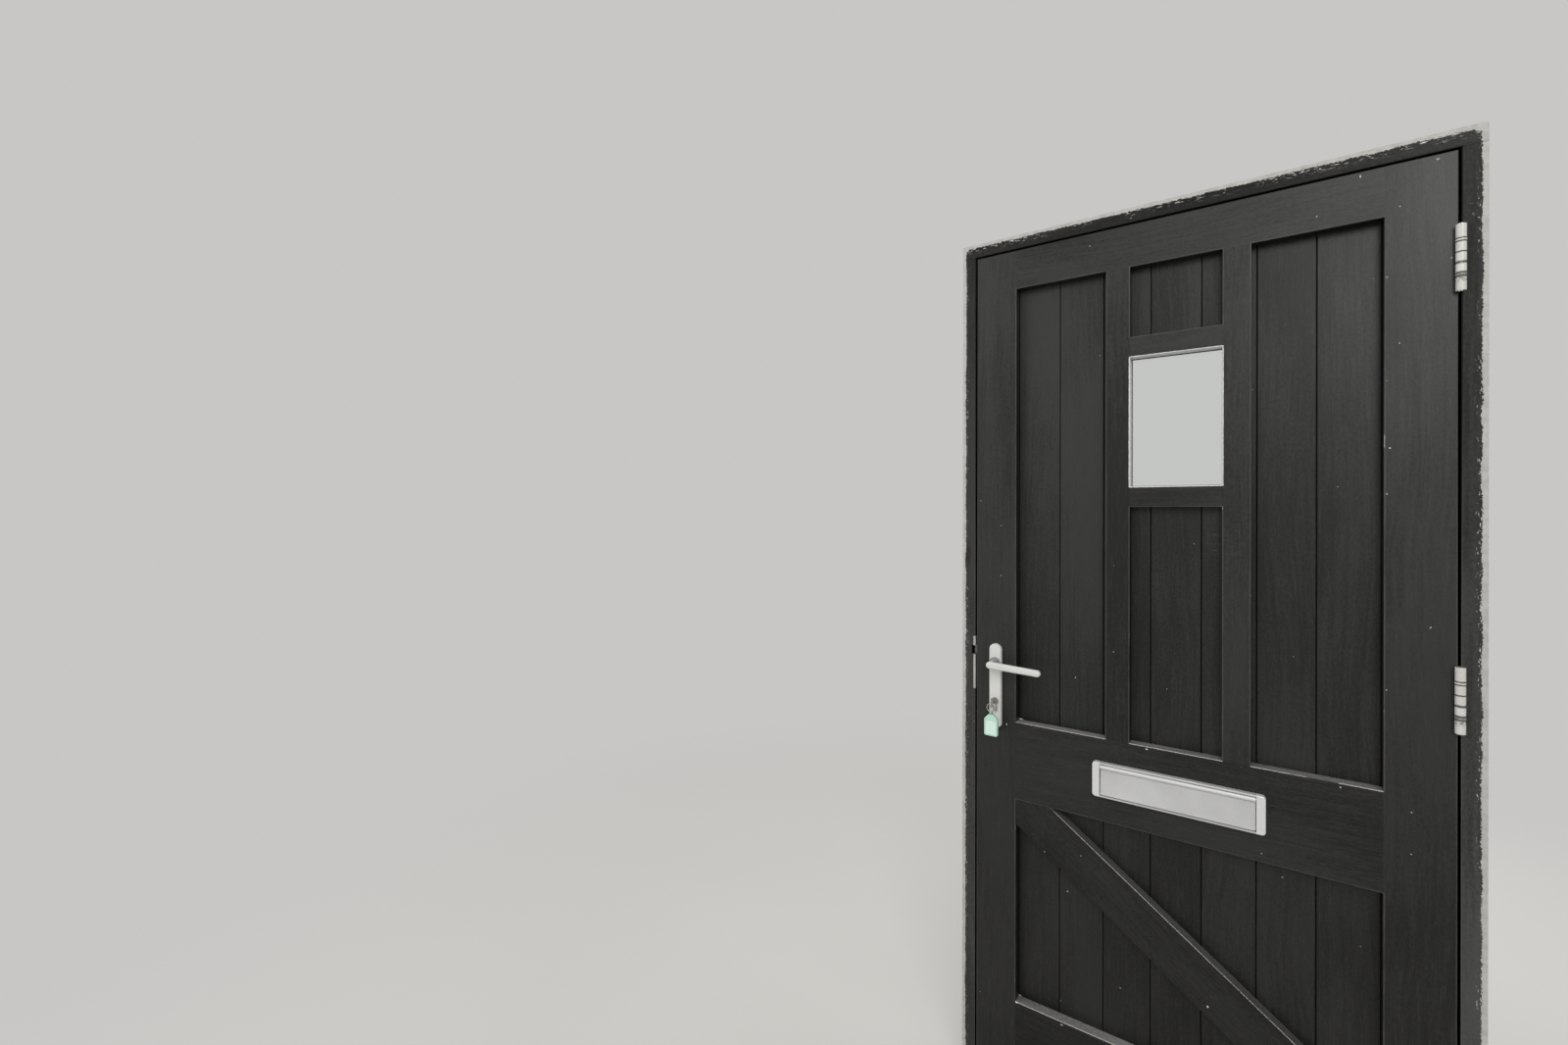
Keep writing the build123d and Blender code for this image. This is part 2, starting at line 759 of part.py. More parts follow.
def make_forend():
    forend = block(-half_leaf, case_front, leaf_middle - forend_width / 2,
                   leaf_middle + forend_width / 2, forend_bottom, forend_top)
    for mouth in bolt_mouths(-half_leaf, case_front):
        forend -= mouth
    for screw in door_screw_list + [cylinder_screw]:
        forend -= screw
    return forend


def make_latch_bolt():
    """A bolt sprung out of the edge, its bevel towards the stop, with a windowed tail."""
    tip = -half_leaf - latch_throw
    rear = tip + latch_length
    flat, bevel = leaf_middle - latch_thickness / 2, leaf_middle + latch_thickness / 2
    head = upright(polygon((tip, flat), (rear, flat), (rear, bevel), (-half_leaf - bolt_clearance, bevel),
                           (tip, flat + latch_nose)), latch_z - half_latch, latch_z + half_latch)
    tail_bottom = latch_z - tail_drop
    tail = block(rear, spindle_x + arm_window / 2 + tail_bridge, leaf_middle - tail_width / 2,
                 leaf_middle + tail_width / 2, tail_bottom, tail_bottom + tail_height)
    half_arm = follower_arm_thickness / 2 + 2 * bolt_clearance
    window = block(spindle_x - arm_window / 2, spindle_x + arm_window / 2, leaf_middle - half_arm,
                   leaf_middle + half_arm, tail_bottom, tail_bottom + tail_height)
    return head + tail - window


def make_latch_spring():
    """The coil that drives the latch out, seated on the back of the case, at its closed length."""
    seat = case_back - case_wall - spring_wire
    length = seat - spring_wire - (latch_length - half_leaf)
    path = Helix(length / spring_turns, length, spring_radius)
    section = Plane(path @ 0, z_dir=path % 0) * Rectangle(spring_wire, spring_wire)
    wire = sweep(section, path=path, is_frenet=True)
    z = latch_z + half_latch - spring_radius - spring_wire
    return Pos(seat, leaf_middle, z) * Rot(0, -90, 0) * wire


def spindle_bar(clearance, y0, y1):
    half = spindle_size / 2 + clearance
    return block(spindle_x - half, spindle_x + half, y0, y1, spindle_z - half, spindle_z + half)


def make_follower():
    half = half_case - case_wall - turning_clearance
    hub = rod_y_way(follower_radius, spindle_x, leaf_middle - half, leaf_middle + half, spindle_z)
    arm = block(spindle_x - follower_arm_width / 2, spindle_x + follower_arm_width / 2,
                leaf_middle - follower_arm_thickness / 2, leaf_middle + follower_arm_thickness / 2,
                spindle_z, spindle_z + follower_arm)
    return hub + arm - spindle_bar(socket_clearance, leaf_middle - half, leaf_middle + half)


def make_deadbolt():
    bolt = block(-half_leaf, -half_leaf + deadbolt_length, leaf_middle - deadbolt_thickness / 2,
                 leaf_middle + deadbolt_thickness / 2, deadbolt_z - half_deadbolt,
                 deadbolt_z + half_deadbolt)
    return chamfer(bolt.edges().group_by(Axis.X)[0], deadbolt_chamfer)


def make_cylinder_screw():
    z = cylinder_z - cylinder_screw_drop
    shank = rod_x(cylinder_screw_radius, -half_leaf, spindle_x + cylinder_screw_radius, leaf_middle, z)
    head_depth = cylinder_screw_head - cylinder_screw_radius
    head = Rot(0, 90, 0) * Cone(cylinder_screw_head, cylinder_screw_radius, head_depth)
    return shank + Pos(-half_leaf + head_depth / 2, leaf_middle, z) * head


cylinder_screw = make_cylinder_screw()
spindle_end = room_face - lever_reach + lever_thickness / 2 + neck_wall
save("lock_case", make_lock_case())
save("forend", make_forend())
save("latch_bolt", make_latch_bolt())
save("deadbolt", make_deadbolt())
save("latch_spring", make_latch_spring())
save("lock_follower", make_follower())
save("lever_spindle", spindle_bar(0, spindle_end, 2 * leaf_middle - spindle_end))
save("cylinder_screw", cylinder_screw)


# Profile cylinder: body, a plug from each side, the cam between them, and the key
cam_half = cam_thickness / 2


def keyway(y0, y1):
    half_x, half_z = key_thickness / 2 + keyway_clearance, key_blade_height / 2 + keyway_clearance
    return block(spindle_x - half_x, spindle_x + half_x, y0, y1, cylinder_z - half_z, cylinder_z + half_z)


def make_cylinder_body():
    body = facing(euro_profile(), cylinder_face, outer_cylinder_face)
    body -= rod_y_way(plug_radius + plug_clearance, spindle_x, cylinder_face, outer_cylinder_face,
                      cylinder_z)
    side = 2 * euro_radius
    body -= block(spindle_x - side, spindle_x + side, leaf_middle - cam_half - cam_gap,
                  leaf_middle + cam_half + cam_gap, cylinder_z - cam_radius - 2 * cam_gap,
                  cylinder_z + side)
    return body - cylinder_screw


def make_plug(end_gap):
    plug = rod_y_way(plug_radius, spindle_x, cylinder_face, leaf_middle - cam_half - end_gap,
                     cylinder_z)
    return plug - keyway(cylinder_face, cylinder_face + key_blade_length + keyway_clearance)


def make_cam():
    cam = rod_y_way(cam_hub, spindle_x, leaf_middle - cam_half, leaf_middle + cam_half, cylinder_z)
    lobe = block(spindle_x - cam_hub / 2, spindle_x + cam_hub / 2, leaf_middle - cam_half,
                 leaf_middle + cam_half, cylinder_z - cam_radius, cylinder_z)
    return cam + lobe


def make_key():
    half = key_thickness / 2
    blade_end = cylinder_face + key_blade_length
    blade_top = key_blade_height / 2
    shoulder_top = blade_top + key_shoulder
    profile = [(cylinder_face, shoulder_top), (cylinder_face, blade_top),
               (blade_end - blade_top, blade_top), (blade_end, 0), (blade_end - blade_top, -blade_top)]
    pitch = (key_blade_length - key_blade_height) / key_cuts
    for number in range(key_cuts):
        start = blade_end - blade_top - number * pitch
        depth = key_cut_depth * (1 + number % 3) / 3
        profile += [(start - pitch / 2 + depth, -blade_top), (start - pitch / 2, depth - blade_top),
                    (start - pitch / 2 - depth, -blade_top)]
    profile += [(cylinder_face, -blade_top), (cylinder_face, -shoulder_top),
                (cylinder_face - 2 * key_shoulder, -shoulder_top),
                (cylinder_face - 2 * key_shoulder, shoulder_top)]
    blade = Pos(0, cylinder_z) * polygon(*profile)
    bow_y = cylinder_face - key_shoulder - key_bow_length / 2
    bow = Pos(bow_y, cylinder_z) * RectangleRounded(key_bow_length, key_bow_height, key_bow_corner)
    hole = Pos(key_hole_y, cylinder_z) * Circle(key_hole_radius)
    return crosswise(blade + bow - hole, spindle_x - half, spindle_x + half)


def make_key_ring():
    """A flat-wound ring, its wire as wide as it is thick."""
    ring = Circle(ring_radius + ring_wire) - Circle(ring_radius - ring_wire)
    return facing(Pos(spindle_x, ring_z) * ring, key_hole_y - ring_wire, key_hole_y + ring_wire)


def make_key_tag():
    """A moulded tag on an eye, its shoulders sloping out to a body with a label recess."""
    half_neck, half_body, half_thick = tag_neck_width / 2, tag_width / 2, tag_thickness / 2
    neck = tag_eye_z - tag_eye_radius
    shoulder = tag_bottom + tag_body_height
    outline = polygon((-half_neck, neck), (-half_body, shoulder), (-half_body, tag_bottom),
                      (half_body, tag_bottom), (half_body, shoulder), (half_neck, neck))
    corners = outline.vertices().group_by(Axis.Y)[:2]
    outline = fillet([corner for group in corners for corner in group], tag_corner)
    tag = facing(outline, -half_thick, half_thick)
    label = Rectangle(tag_width - 2 * tag_label_margin, tag_body_height - 2 * tag_label_margin)
    label = Pos(0, tag_bottom + tag_body_height / 2) * label
    tag -= facing(label, -half_thick, tag_label_depth - half_thick)
    eye = Circle(tag_eye_radius + tag_eye_wall) - Circle(tag_eye_radius)
    tag += crosswise(Pos(0, tag_eye_z) * eye, -tag_eye_width / 2, tag_eye_width / 2)
    return Pos(spindle_x, key_hole_y, 0) * tag


save("cylinder_body", make_cylinder_body())
save("inner_plug", make_plug(0))
save("outer_plug", mirror(make_plug(cam_gap), outside))
save("cylinder_cam", make_cam())
save("key", make_key())
save("key_ring", make_key_ring())
save("key_tag", make_key_tag())


# Handles: a backplate and a lever on each face, joined by the spindle and two through screws
handle_screw_heights = (spindle_z + handle_screw_above, spindle_z - handle_screw_below)


def make_handle_screw(z):
    tip = leaf_back + handle_screw_depth
    shank = rod_y_way(handle_screw_radius, spindle_x, plate_front, tip, z)
    head_depth = handle_screw_head - handle_screw_radius
    head = Rot(-90, 0, 0) * Cone(handle_screw_head, handle_screw_radius, head_depth)
    return shank + Pos(spindle_x, plate_front + head_depth / 2, z) * head


def make_backplate():
    top, bottom = spindle_z + plate_above, spindle_z - plate_below
    round_z = top - plate_width / 2
    outline = Pos(0, (round_z + bottom) / 2) * Rectangle(plate_width, round_z - bottom)
    outline = fillet(outline.vertices().group_by(Axis.Y)[0], plate_bottom_corner)
    outline += Pos(0, round_z) * Circle(plate_width / 2)
    plate = facing(Pos(spindle_x, 0) * outline, plate_front, room_face)
    plate = fillet(front_edges(plate), plate_round)
    plate += rod_y_way(collar_radius, spindle_x, plate_front - collar_height, room_face, spindle_z)
    plate -= rod_y_way(neck_radius + turning_clearance, spindle_x, plate_front - collar_height,
                       room_face, spindle_z)
    return plate - facing(euro_profile(plug_clearance), plate_front, room_face)


def make_lever():
    """A straight lever on a round neck, its grip tapering and drooping a little to the tip."""
    back = room_face - lever_reach + lever_thickness / 2
    front = back - lever_thickness
    grip = Circle(lever_root_radius) + Pos(lever_length, -lever_droop) * Circle(lever_tip_radius)
    grip = facing(Pos(spindle_x, spindle_z) * make_hull(grip.edges()), front, back)
    grip = fillet(grip.edges().group_by(Axis.Y)[0] + grip.edges().group_by(Axis.Y)[-1], lever_round)
    collar_front = plate_front - collar_height
    neck = rod_y_way(neck_radius, spindle_x, collar_front, room_face - turning_clearance, spindle_z)
    taper = Rot(90, 0, 0) * Cone(neck_radius, neck_top_radius, collar_front - back + lever_round)
    neck += Pos(spindle_x, (collar_front + back - lever_round) / 2, spindle_z) * taper
    return grip + neck - spindle_bar(socket_clearance, spindle_end, room_face)


handle_screws = [make_handle_screw(z) for z in handle_screw_heights]
backplate = make_backplate()
inner_backplate, outer_backplate = backplate, mirror(backplate, outside)
for screw in handle_screws:
    inner_backplate -= screw
    outer_backplate -= screw
lever = make_lever()
save("inner_backplate", inner_backplate)
save("outer_backplate", outer_backplate)
save("inner_lever", lever)
save("outer_lever", mirror(lever, outside))
save_group("handle_screws", handle_screws)


# Letter plate: a frame and a hinged flap on each face, a sleeve through the leaf, two bolts
def make_letter_frame():
    front = room_face - letter_projection
    outline = Pos(0, letter_z) * RectangleRounded(letter_length, letter_width, letter_corner)
    frame = facing(outline, front, room_face)
    frame = fillet(front_edges(frame), letter_round)
    half_flap = letter_length / 2 - letter_end
    floor_y = room_face - letter_base
    frame -= block(-half_flap, half_flap, front, floor_y, flap_bottom - flap_gap, flap_top + flap_gap)
    frame -= block(-half_slot, half_slot, floor_y, room_face,
                   letter_z - slot_height / 2, letter_z + slot_height / 2)
    pin_hole = half_flap + flap_pin_length + flap_gap / 2
    return frame - rod_x(flap_pin_radius + pin_clearance, -pin_hole, pin_hole, rod_y, rod_z)


def make_flap():
    half_flap = letter_length / 2 - letter_end - flap_gap
    front = room_face - flap_front
    flap = block(-half_flap, half_flap, front, front + flap_thickness, flap_bottom, rod_z)
    lip = block(-half_flap, half_flap, room_face - flap_lip_projection, front + flap_thickness,
                flap_bottom, flap_bottom + flap_lip)
    flap += chamfer(lip.edges().filter_by(Axis.X).group_by(Axis.Y)[0], flap_lip / 3)
    flap += rod_x(flap_rod_radius, -half_flap, half_flap, rod_y, rod_z)
    pin_end = half_flap + flap_pin_length
    return flap + rod_x(flap_pin_radius, -pin_end, pin_end, rod_y, rod_z)


def make_sleeve():
    outline = Rectangle(2 * (half_slot + sleeve_wall), slot_height + 2 * sleeve_wall)
    outline -= Rectangle(2 * half_slot, slot_height)
    return facing(Pos(0, letter_z) * outline, room_face, leaf_back)


def make_letter_bolt(side):
    x = side * letter_bolt_x
    inner, outer = room_face - letter_base, leaf_back + letter_base
    shank = rod_y_way(letter_bolt_radius, x, inner, outer, letter_z)
    head_depth = letter_bolt_head - letter_bolt_radius
    head = Rot(-90, 0, 0) * Cone(letter_bolt_head, letter_bolt_radius, head_depth)
    return shank + Pos(x, inner + head_depth / 2, letter_z) * head


letter_bolts = [make_letter_bolt(side) for side in (-1, 1)]
letter_frame = make_letter_frame()
outer_letter_frame = mirror(letter_frame, outside) + make_sleeve()
for bolt in letter_bolts:
    letter_frame -= bolt
    outer_letter_frame -= bolt
flap = make_flap()
save("inner_letter_frame", letter_frame)
save("outer_letter_frame", outer_letter_frame)
save("inner_flap", flap)
save("outer_flap", mirror(flap, outside))
save_group("letter_bolts", letter_bolts)
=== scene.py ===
import math
import bpy
import numpy as np
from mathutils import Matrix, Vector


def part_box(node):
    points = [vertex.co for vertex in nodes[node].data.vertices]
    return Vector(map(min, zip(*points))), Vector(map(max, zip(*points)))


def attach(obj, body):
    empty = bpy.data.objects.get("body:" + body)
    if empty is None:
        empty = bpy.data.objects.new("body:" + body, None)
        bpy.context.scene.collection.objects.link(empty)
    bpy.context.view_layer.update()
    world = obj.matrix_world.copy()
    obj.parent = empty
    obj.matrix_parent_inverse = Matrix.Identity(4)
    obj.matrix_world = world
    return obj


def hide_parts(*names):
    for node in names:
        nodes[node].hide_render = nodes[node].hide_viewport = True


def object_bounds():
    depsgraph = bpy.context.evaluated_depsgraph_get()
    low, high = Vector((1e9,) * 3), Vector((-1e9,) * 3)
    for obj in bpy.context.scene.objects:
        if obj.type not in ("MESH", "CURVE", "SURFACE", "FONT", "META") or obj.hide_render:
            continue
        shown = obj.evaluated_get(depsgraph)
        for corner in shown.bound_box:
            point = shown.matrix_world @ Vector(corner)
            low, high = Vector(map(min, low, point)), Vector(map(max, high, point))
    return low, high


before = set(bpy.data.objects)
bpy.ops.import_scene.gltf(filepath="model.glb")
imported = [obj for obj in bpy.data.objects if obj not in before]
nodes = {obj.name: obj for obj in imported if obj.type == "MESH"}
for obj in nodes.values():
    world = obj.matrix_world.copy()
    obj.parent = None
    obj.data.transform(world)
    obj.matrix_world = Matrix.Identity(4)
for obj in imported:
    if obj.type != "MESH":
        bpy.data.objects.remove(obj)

cadBox = [list(corner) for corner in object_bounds()]
print("frame loaded,", len(nodes), "nodes")

# the camera stands on the inner side, in front of the hinges, and looks towards the lock side
camera = {"place": (0.1623, -1.6223, 1.4061), "pitch": 90, "roll": -0.096, "yaw": 36.401,
          "lens": 15.171, "sensor": 36, "shiftUp": -0.00776}
cameraData = bpy.data.cameras.new("doorCamera")
cameraData.lens = camera["lens"]
cameraData.sensor_width = camera["sensor"]
cameraData.shift_y = camera["shiftUp"]
cameraObject = bpy.data.objects.new("doorCamera", cameraData)
cameraObject.location = camera["place"]
cameraObject.rotation_euler = [math.radians(camera[angle]) for angle in ("pitch", "roll", "yaw")]
bpy.context.collection.objects.link(cameraObject)
bpy.context.scene.camera = cameraObject


def linear(code):
    # six hex digits of a screen colour, as the linear colour that a socket takes
    parts = [int(code[i:i + 2], 16) / 255 for i in (0, 2, 4)]
    return tuple(p / 12.92 if p <= 0.04045 else ((p + 0.055) / 1.055) ** 2.4 for p in parts) + (1.0,)


def feed(tree, socket, value):
    # a socket is linked, and a number or colour is set
    if isinstance(value, bpy.types.NodeSocket):
        tree.links.new(value, socket)
    else:
        socket.default_value = value


def feedAll(tree, sockets, values):
    # values for named or numbered sockets, or for the first ones in their order
    for key, value in values.items() if isinstance(values, dict) else enumerate(values):
        feed(tree, sockets[key], value)


def newNode(tree, kind, values, **settings):
    # the outputs of a new node that has these settings and is fed these values
    node = tree.nodes.new(kind)
    for setting, choice in settings.items():
        setattr(node, setting, choice)
    feedAll(tree, node.inputs, values)
    return node.outputs


def maths(tree, operation, *values):
    return newNode(tree, "ShaderNodeMath", values, operation=operation)[0]


def chain(tree, operation, values):
    # the operation on the first two values, then on its result and the next value, and so on
    result = values[0]
    for value in values[1:]:
        result = maths(tree, operation, result, value)
    return result


def add(tree, *values):
    return chain(tree, "ADD", values)


def most(tree, *values):
    return chain(tree, "MAXIMUM", values)


def least(tree, *values):
    return chain(tree, "MINIMUM", values)


def minus(tree, first, second):
    return maths(tree, "SUBTRACT", first, second)


def times(tree, first, second):
    return maths(tree, "MULTIPLY", first, second)


def apart(tree, first, second):
    # how far two values lie apart, without a sign
    return maths(tree, "ABSOLUTE", minus(tree, first, second))


def above(tree, value, limit):
    return maths(tree, "GREATER_THAN", value, limit)


def below(tree, value, limit):
    return maths(tree, "LESS_THAN", value, limit)


def hypotenuse(tree, first, second):
    # the square root of the sum of both squares
    return maths(tree, "SQRT", add(tree, times(tree, first, first), times(tree, second, second)))


def vectors(tree, operation, *values):
    outputs = newNode(tree, "ShaderNodeVectorMath", values, operation=operation)
    return outputs["Value" if operation == "LENGTH" else "Vector"]


def axes(tree, vector):
    return newNode(tree, "ShaderNodeSeparateXYZ", [vector])


def ramp(tree, value, low, high, toLow=0.0, toHigh=1.0):
    # a smooth step of value from low to high
    return newNode(tree, "ShaderNodeMapRange", (value, low, high, toLow, toHigh),
                   interpolation_type="SMOOTHSTEP")[0]


def over(tree, mask, under, top):
    # the top colour where the mask is 1, and the one under it where it is 0
    return newNode(tree, "ShaderNodeMix", {0: mask, 6: under, 7: top}, data_type="RGBA")[2]


def noise(tree, place, waves, detail=2.0, roughness=0.5):
    # noise with so many waves per metre, one number for all axes or one for each
    stretched = vectors(tree, "MULTIPLY", place, waves if isinstance(waves, tuple) else (waves,) * 3)
    return newNode(tree, "ShaderNodeTexNoise", {"Vector": stretched, "Scale": 1.0, "Detail": detail,
                                                "Roughness": roughness})["Fac"]


def bump(tree, height, strength, distance):
    return newNode(tree, "ShaderNodeBump", {"Strength": strength, "Distance": distance,
                                            "Height": height})["Normal"]


def makeGroup(name, inputs, outputs):
    # the group's tree, its inputs and its outputs; an input's kind follows from its default
    tree = bpy.data.node_groups.new(name, "ShaderNodeTree")
    for label, default in inputs.items():
        kind = "NodeSocketVector" if isinstance(default, tuple) else "NodeSocketFloat"
        tree.interface.new_socket(label, in_out="INPUT", socket_type=kind).default_value = default
    for label in outputs:
        tree.interface.new_socket(label, in_out="OUTPUT", socket_type="NodeSocketFloat")
    return tree, tree.nodes.new("NodeGroupInput").outputs, tree.nodes.new("NodeGroupOutput").inputs


def useGroup(tree, group, values):
    return newNode(tree, "ShaderNodeGroup", values, node_tree=group)


anywhere = (0.0, 0.0, 0.0)

# waves of the grain per metre, and how far in metres its lines wander
grainWaves = {"wander": (2.3, 2.3, 1.9), "pores": (520, 520, 26), "lines": (150, 150, 5),
              "drift": (4.1, 4.1, 1.5), "mottle": (240, 240, 150), "knots": (8, 8, 2.2)}
grainWander = 0.06


def makeTimberGrain():
    # grain that runs along Z under paint: pores, brush lines, slow drift of tone, mottle and a few knots
    tree, given, put = makeGroup("timberGrain", {"Place": anywhere},
                                 ("Pores", "Lines", "Drift", "Mottle", "Knots"))
    place = given["Place"]
    sideways = times(tree, noise(tree, place, grainWaves["wander"]), grainWander)
    bent = vectors(tree, "ADD", place, newNode(tree, "ShaderNodeCombineXYZ", [sideways])[0])
    knots = vectors(tree, "MULTIPLY", bent, grainWaves["knots"])
    fromKnot = newNode(tree, "ShaderNodeTexVoronoi", {"Vector": knots, "Scale": 1.0})["Distance"]
    feedAll(tree, put, {"Pores": ramp(tree, noise(tree, bent, grainWaves["pores"], 2, 0.6), 0.5, 0.72),
                        "Lines": noise(tree, bent, grainWaves["lines"], 3, 0.6),
                        "Drift": noise(tree, place, grainWaves["drift"], 3, 0.55),
                        "Mottle": noise(tree, place, grainWaves["mottle"], 2, 0.6),
                        "Knots": ramp(tree, fromKnot, 0.02, 0.09, 1.0, 0.0)})
    return tree


def makeRimDistance():
    # distance to the rim of a rectangle in X and Z: the hypotenuse of how far the place lies outside or
    # inside its sides, and of how far it lies off its depth
    tree, given, put = makeGroup("rimDistance", {"Place": anywhere, "Centre": anywhere, "Half": anywhere},
                                 ("Distance",))
    offset = vectors(tree, "ABSOLUTE", vectors(tree, "SUBTRACT", given["Place"], given["Centre"]))
    x, y, z = axes(tree, vectors(tree, "SUBTRACT", offset, given["Half"]))
    outside = hypotenuse(tree, most(tree, x, 0.0), most(tree, z, 0.0))
    inside = least(tree, most(tree, x, z), 0.0)
    feed(tree, put["Distance"], hypotenuse(tree, add(tree, outside, inside), y))
    return tree


def makeArrisWearAndHighlight():
    # chips follow a rim in broken runs, and a soft rub goes a little further; the rub also paints the
    # highlight that a rounded arris would catch
    tree, given, put = makeGroup("arrisWearAndHighlight", {"Place": anywhere, "Distance": 1.0, "Width": 0.0015,
                                               "Cover": 0.5}, ("Chips", "RubAndHighlight"))
    runs = noise(tree, given["Place"], 13, 3, 0.65)
    crumbs = noise(tree, given["Place"], 380, 2, 0.6)
    reach = times(tree, given["Width"], add(tree, 0.25, times(tree, crumbs, 1.5)))
    near = ramp(tree, given["Distance"], times(tree, reach, 0.6), reach, 1.0, 0.0)
    bare = minus(tree, 1.0, given["Cover"])
    feed(tree, put["Chips"], times(tree, near, ramp(tree, runs, bare, add(tree, bare, 0.06))))
    soft = ramp(tree, given["Distance"], 0.0, times(tree, given["Width"], 2.4), 1.0, 0.0)
    feed(tree, put["RubAndHighlight"], times(tree, soft, ramp(tree, runs, 0.25, 0.6, 0.35, 1.0)))
    return tree


def makePaintSpecks():
    # small round chips: a share of the cells of a Voronoi pattern, each with a size of its own
    tree, given, put = makeGroup("paintSpecks", {"Place": anywhere, "Cells per metre": 60.0, "Share": 0.05,
                                                 "Size": 0.12}, ("Specks",))
    cells = newNode(tree, "ShaderNodeTexVoronoi", {"Vector": given["Place"],
                                                   "Scale": given["Cells per metre"]})
    lots = newNode(tree, "ShaderNodeSeparateColor", [cells["Color"]])
    chosen = below(tree, lots[0], given["Share"])
    size = times(tree, given["Size"], add(tree, lots[1], noise(tree, given["Place"], 900, 1)))
    feed(tree, put["Specks"], times(tree, chosen, below(tree, cells["Distance"], size)))
    return tree


def makePaintMark():
    # one chip or knock at a place of its own: an ellipse with a broken outline, on the inner face
    tree, given, put = makeGroup("paintMark", {"Place": anywhere, "Where": anywhere, "Size": (1.0, 1.0, 1.0),
                                               "Broken": 1.8}, ("Mark",))
    offset = vectors(tree, "SUBTRACT", given["Place"], given["Where"])
    x, y, z = axes(tree, vectors(tree, "DIVIDE", offset, given["Size"]))
    across = add(tree, times(tree, x, x), times(tree, z, z))
    broken = times(tree, noise(tree, given["Place"], 800, 2, 0.6), given["Broken"])
    mark = ramp(tree, add(tree, across, broken), 1.25, 1.65, 1.0, 0.0)
    feed(tree, put["Mark"], times(tree, mark, below(tree, y, 1.0)))
    return tree


def makeRubMarks():
    # rubbed streaks: stretched noise kept only inside loose patches
    tree, given, put = makeGroup("rubMarks", {"Place": anywhere, "Cover": 0.3}, ("Rubs",))
    patches = noise(tree, given["Place"], (5.2, 5.2, 6.5), 2, 0.6)
    streaks = noise(tree, given["Place"], (55, 55, 260), 3, 0.7)
    bare = minus(tree, 1.0, given["Cover"])
    where = ramp(tree, patches, times(tree, bare, 0.85), bare)
    feed(tree, put["Rubs"], times(tree, where, ramp(tree, streaks, 0.52, 0.74)))
    return tree


def makePlasterEdge():
    # old plaster on the frame: a ragged band along the outer edge, and dashes of it scraped inwards, which
    # lie level under the top edge and upright beside the side edges
    tree, given, put = makeGroup("plasterEdge", {"Place": anywhere, "Half width": 0.5, "Top": 2.0,
                                                 "Face": 0.0, "Reach": 0.008, "Corner": 0.02},
                                 ("Plaster", "Dashes", "Lumps"))
    place = given["Place"]
    x, y, z = axes(tree, place)
    fromSide = minus(tree, given["Half width"], maths(tree, "ABSOLUTE", x))
    fromTop = minus(tree, given["Top"], z)
    inward = maths(tree, "SMOOTH_MIN", fromSide, fromTop, given["Corner"])
    slow = noise(tree, place, 24, 2, 0.5)
    quick = noise(tree, place, 330, 3, 0.7)
    ragged = add(tree, times(tree, minus(tree, slow, 0.5), 0.0065),
                 times(tree, minus(tree, quick, 0.5), 0.009))
    plaster = ramp(tree, minus(tree, add(tree, given["Reach"], ragged), inward), 0.0, 0.0006)
    level = times(tree, ramp(tree, noise(tree, place, (95, 420, 520), 3, 0.7), 0.6, 0.62),
                  ramp(tree, fromTop, 0.0085, 0.024, 1.0, 0.0))
    upright = times(tree, ramp(tree, noise(tree, place, (520, 420, 120), 3, 0.7), 0.625, 0.645),
                    ramp(tree, fromSide, 0.0085, 0.018, 1.0, 0.0))
    patches = ramp(tree, noise(tree, place, 14, 2, 0.5), 0.42, 0.56)
    dashes = times(tree, most(tree, level, upright), patches)
    front = below(tree, y, given["Face"])
    feedAll(tree, put, {"Plaster": times(tree, plaster, front), "Dashes": times(tree, dashes, front),
                        "Lumps": times(tree, quick, most(tree, plaster, dashes))})
    return tree


timberGrain, rimDistance, arrisWearAndHighlight = makeTimberGrain(), makeRimDistance(), makeArrisWearAndHighlight()
paintSpecks, paintMark, rubMarks = makePaintSpecks(), makePaintMark(), makeRubMarks()
plasterEdge = makePlasterEdge()
print("shared effects made")


def patternPlace(material):
    return material.node_tree.nodes["Texture Coordinate"].outputs["Object"]


def newMaterial(name):
    # the material, its tree, its shader and the place that its patterns are read at
    material = bpy.data.materials.new(name)
    material.use_nodes = True
    tree = material.node_tree
    tree.nodes.new("ShaderNodeTexCoord")
    return material, tree, tree.nodes["Principled BSDF"], patternPlace(material)


def middleAndHalf(low, high):
    # centre and half size of a box, in metres
    return tuple((a + b) / 2 for a, b in zip(low, high)), tuple((b - a) / 2 for a, b in zip(low, high))


def outlineDistance(tree, place, centre, half):
    # distance to a rectangle's rim in X and Z, whatever the depth
    flat = vectors(tree, "MULTIPLY", place, (1, 0, 1))
    return useGroup(tree, rimDistance, {"Place": flat, "Centre": (centre[0], 0, centre[2]),
                                        "Half": (half[0], 0, half[2])})["Distance"]


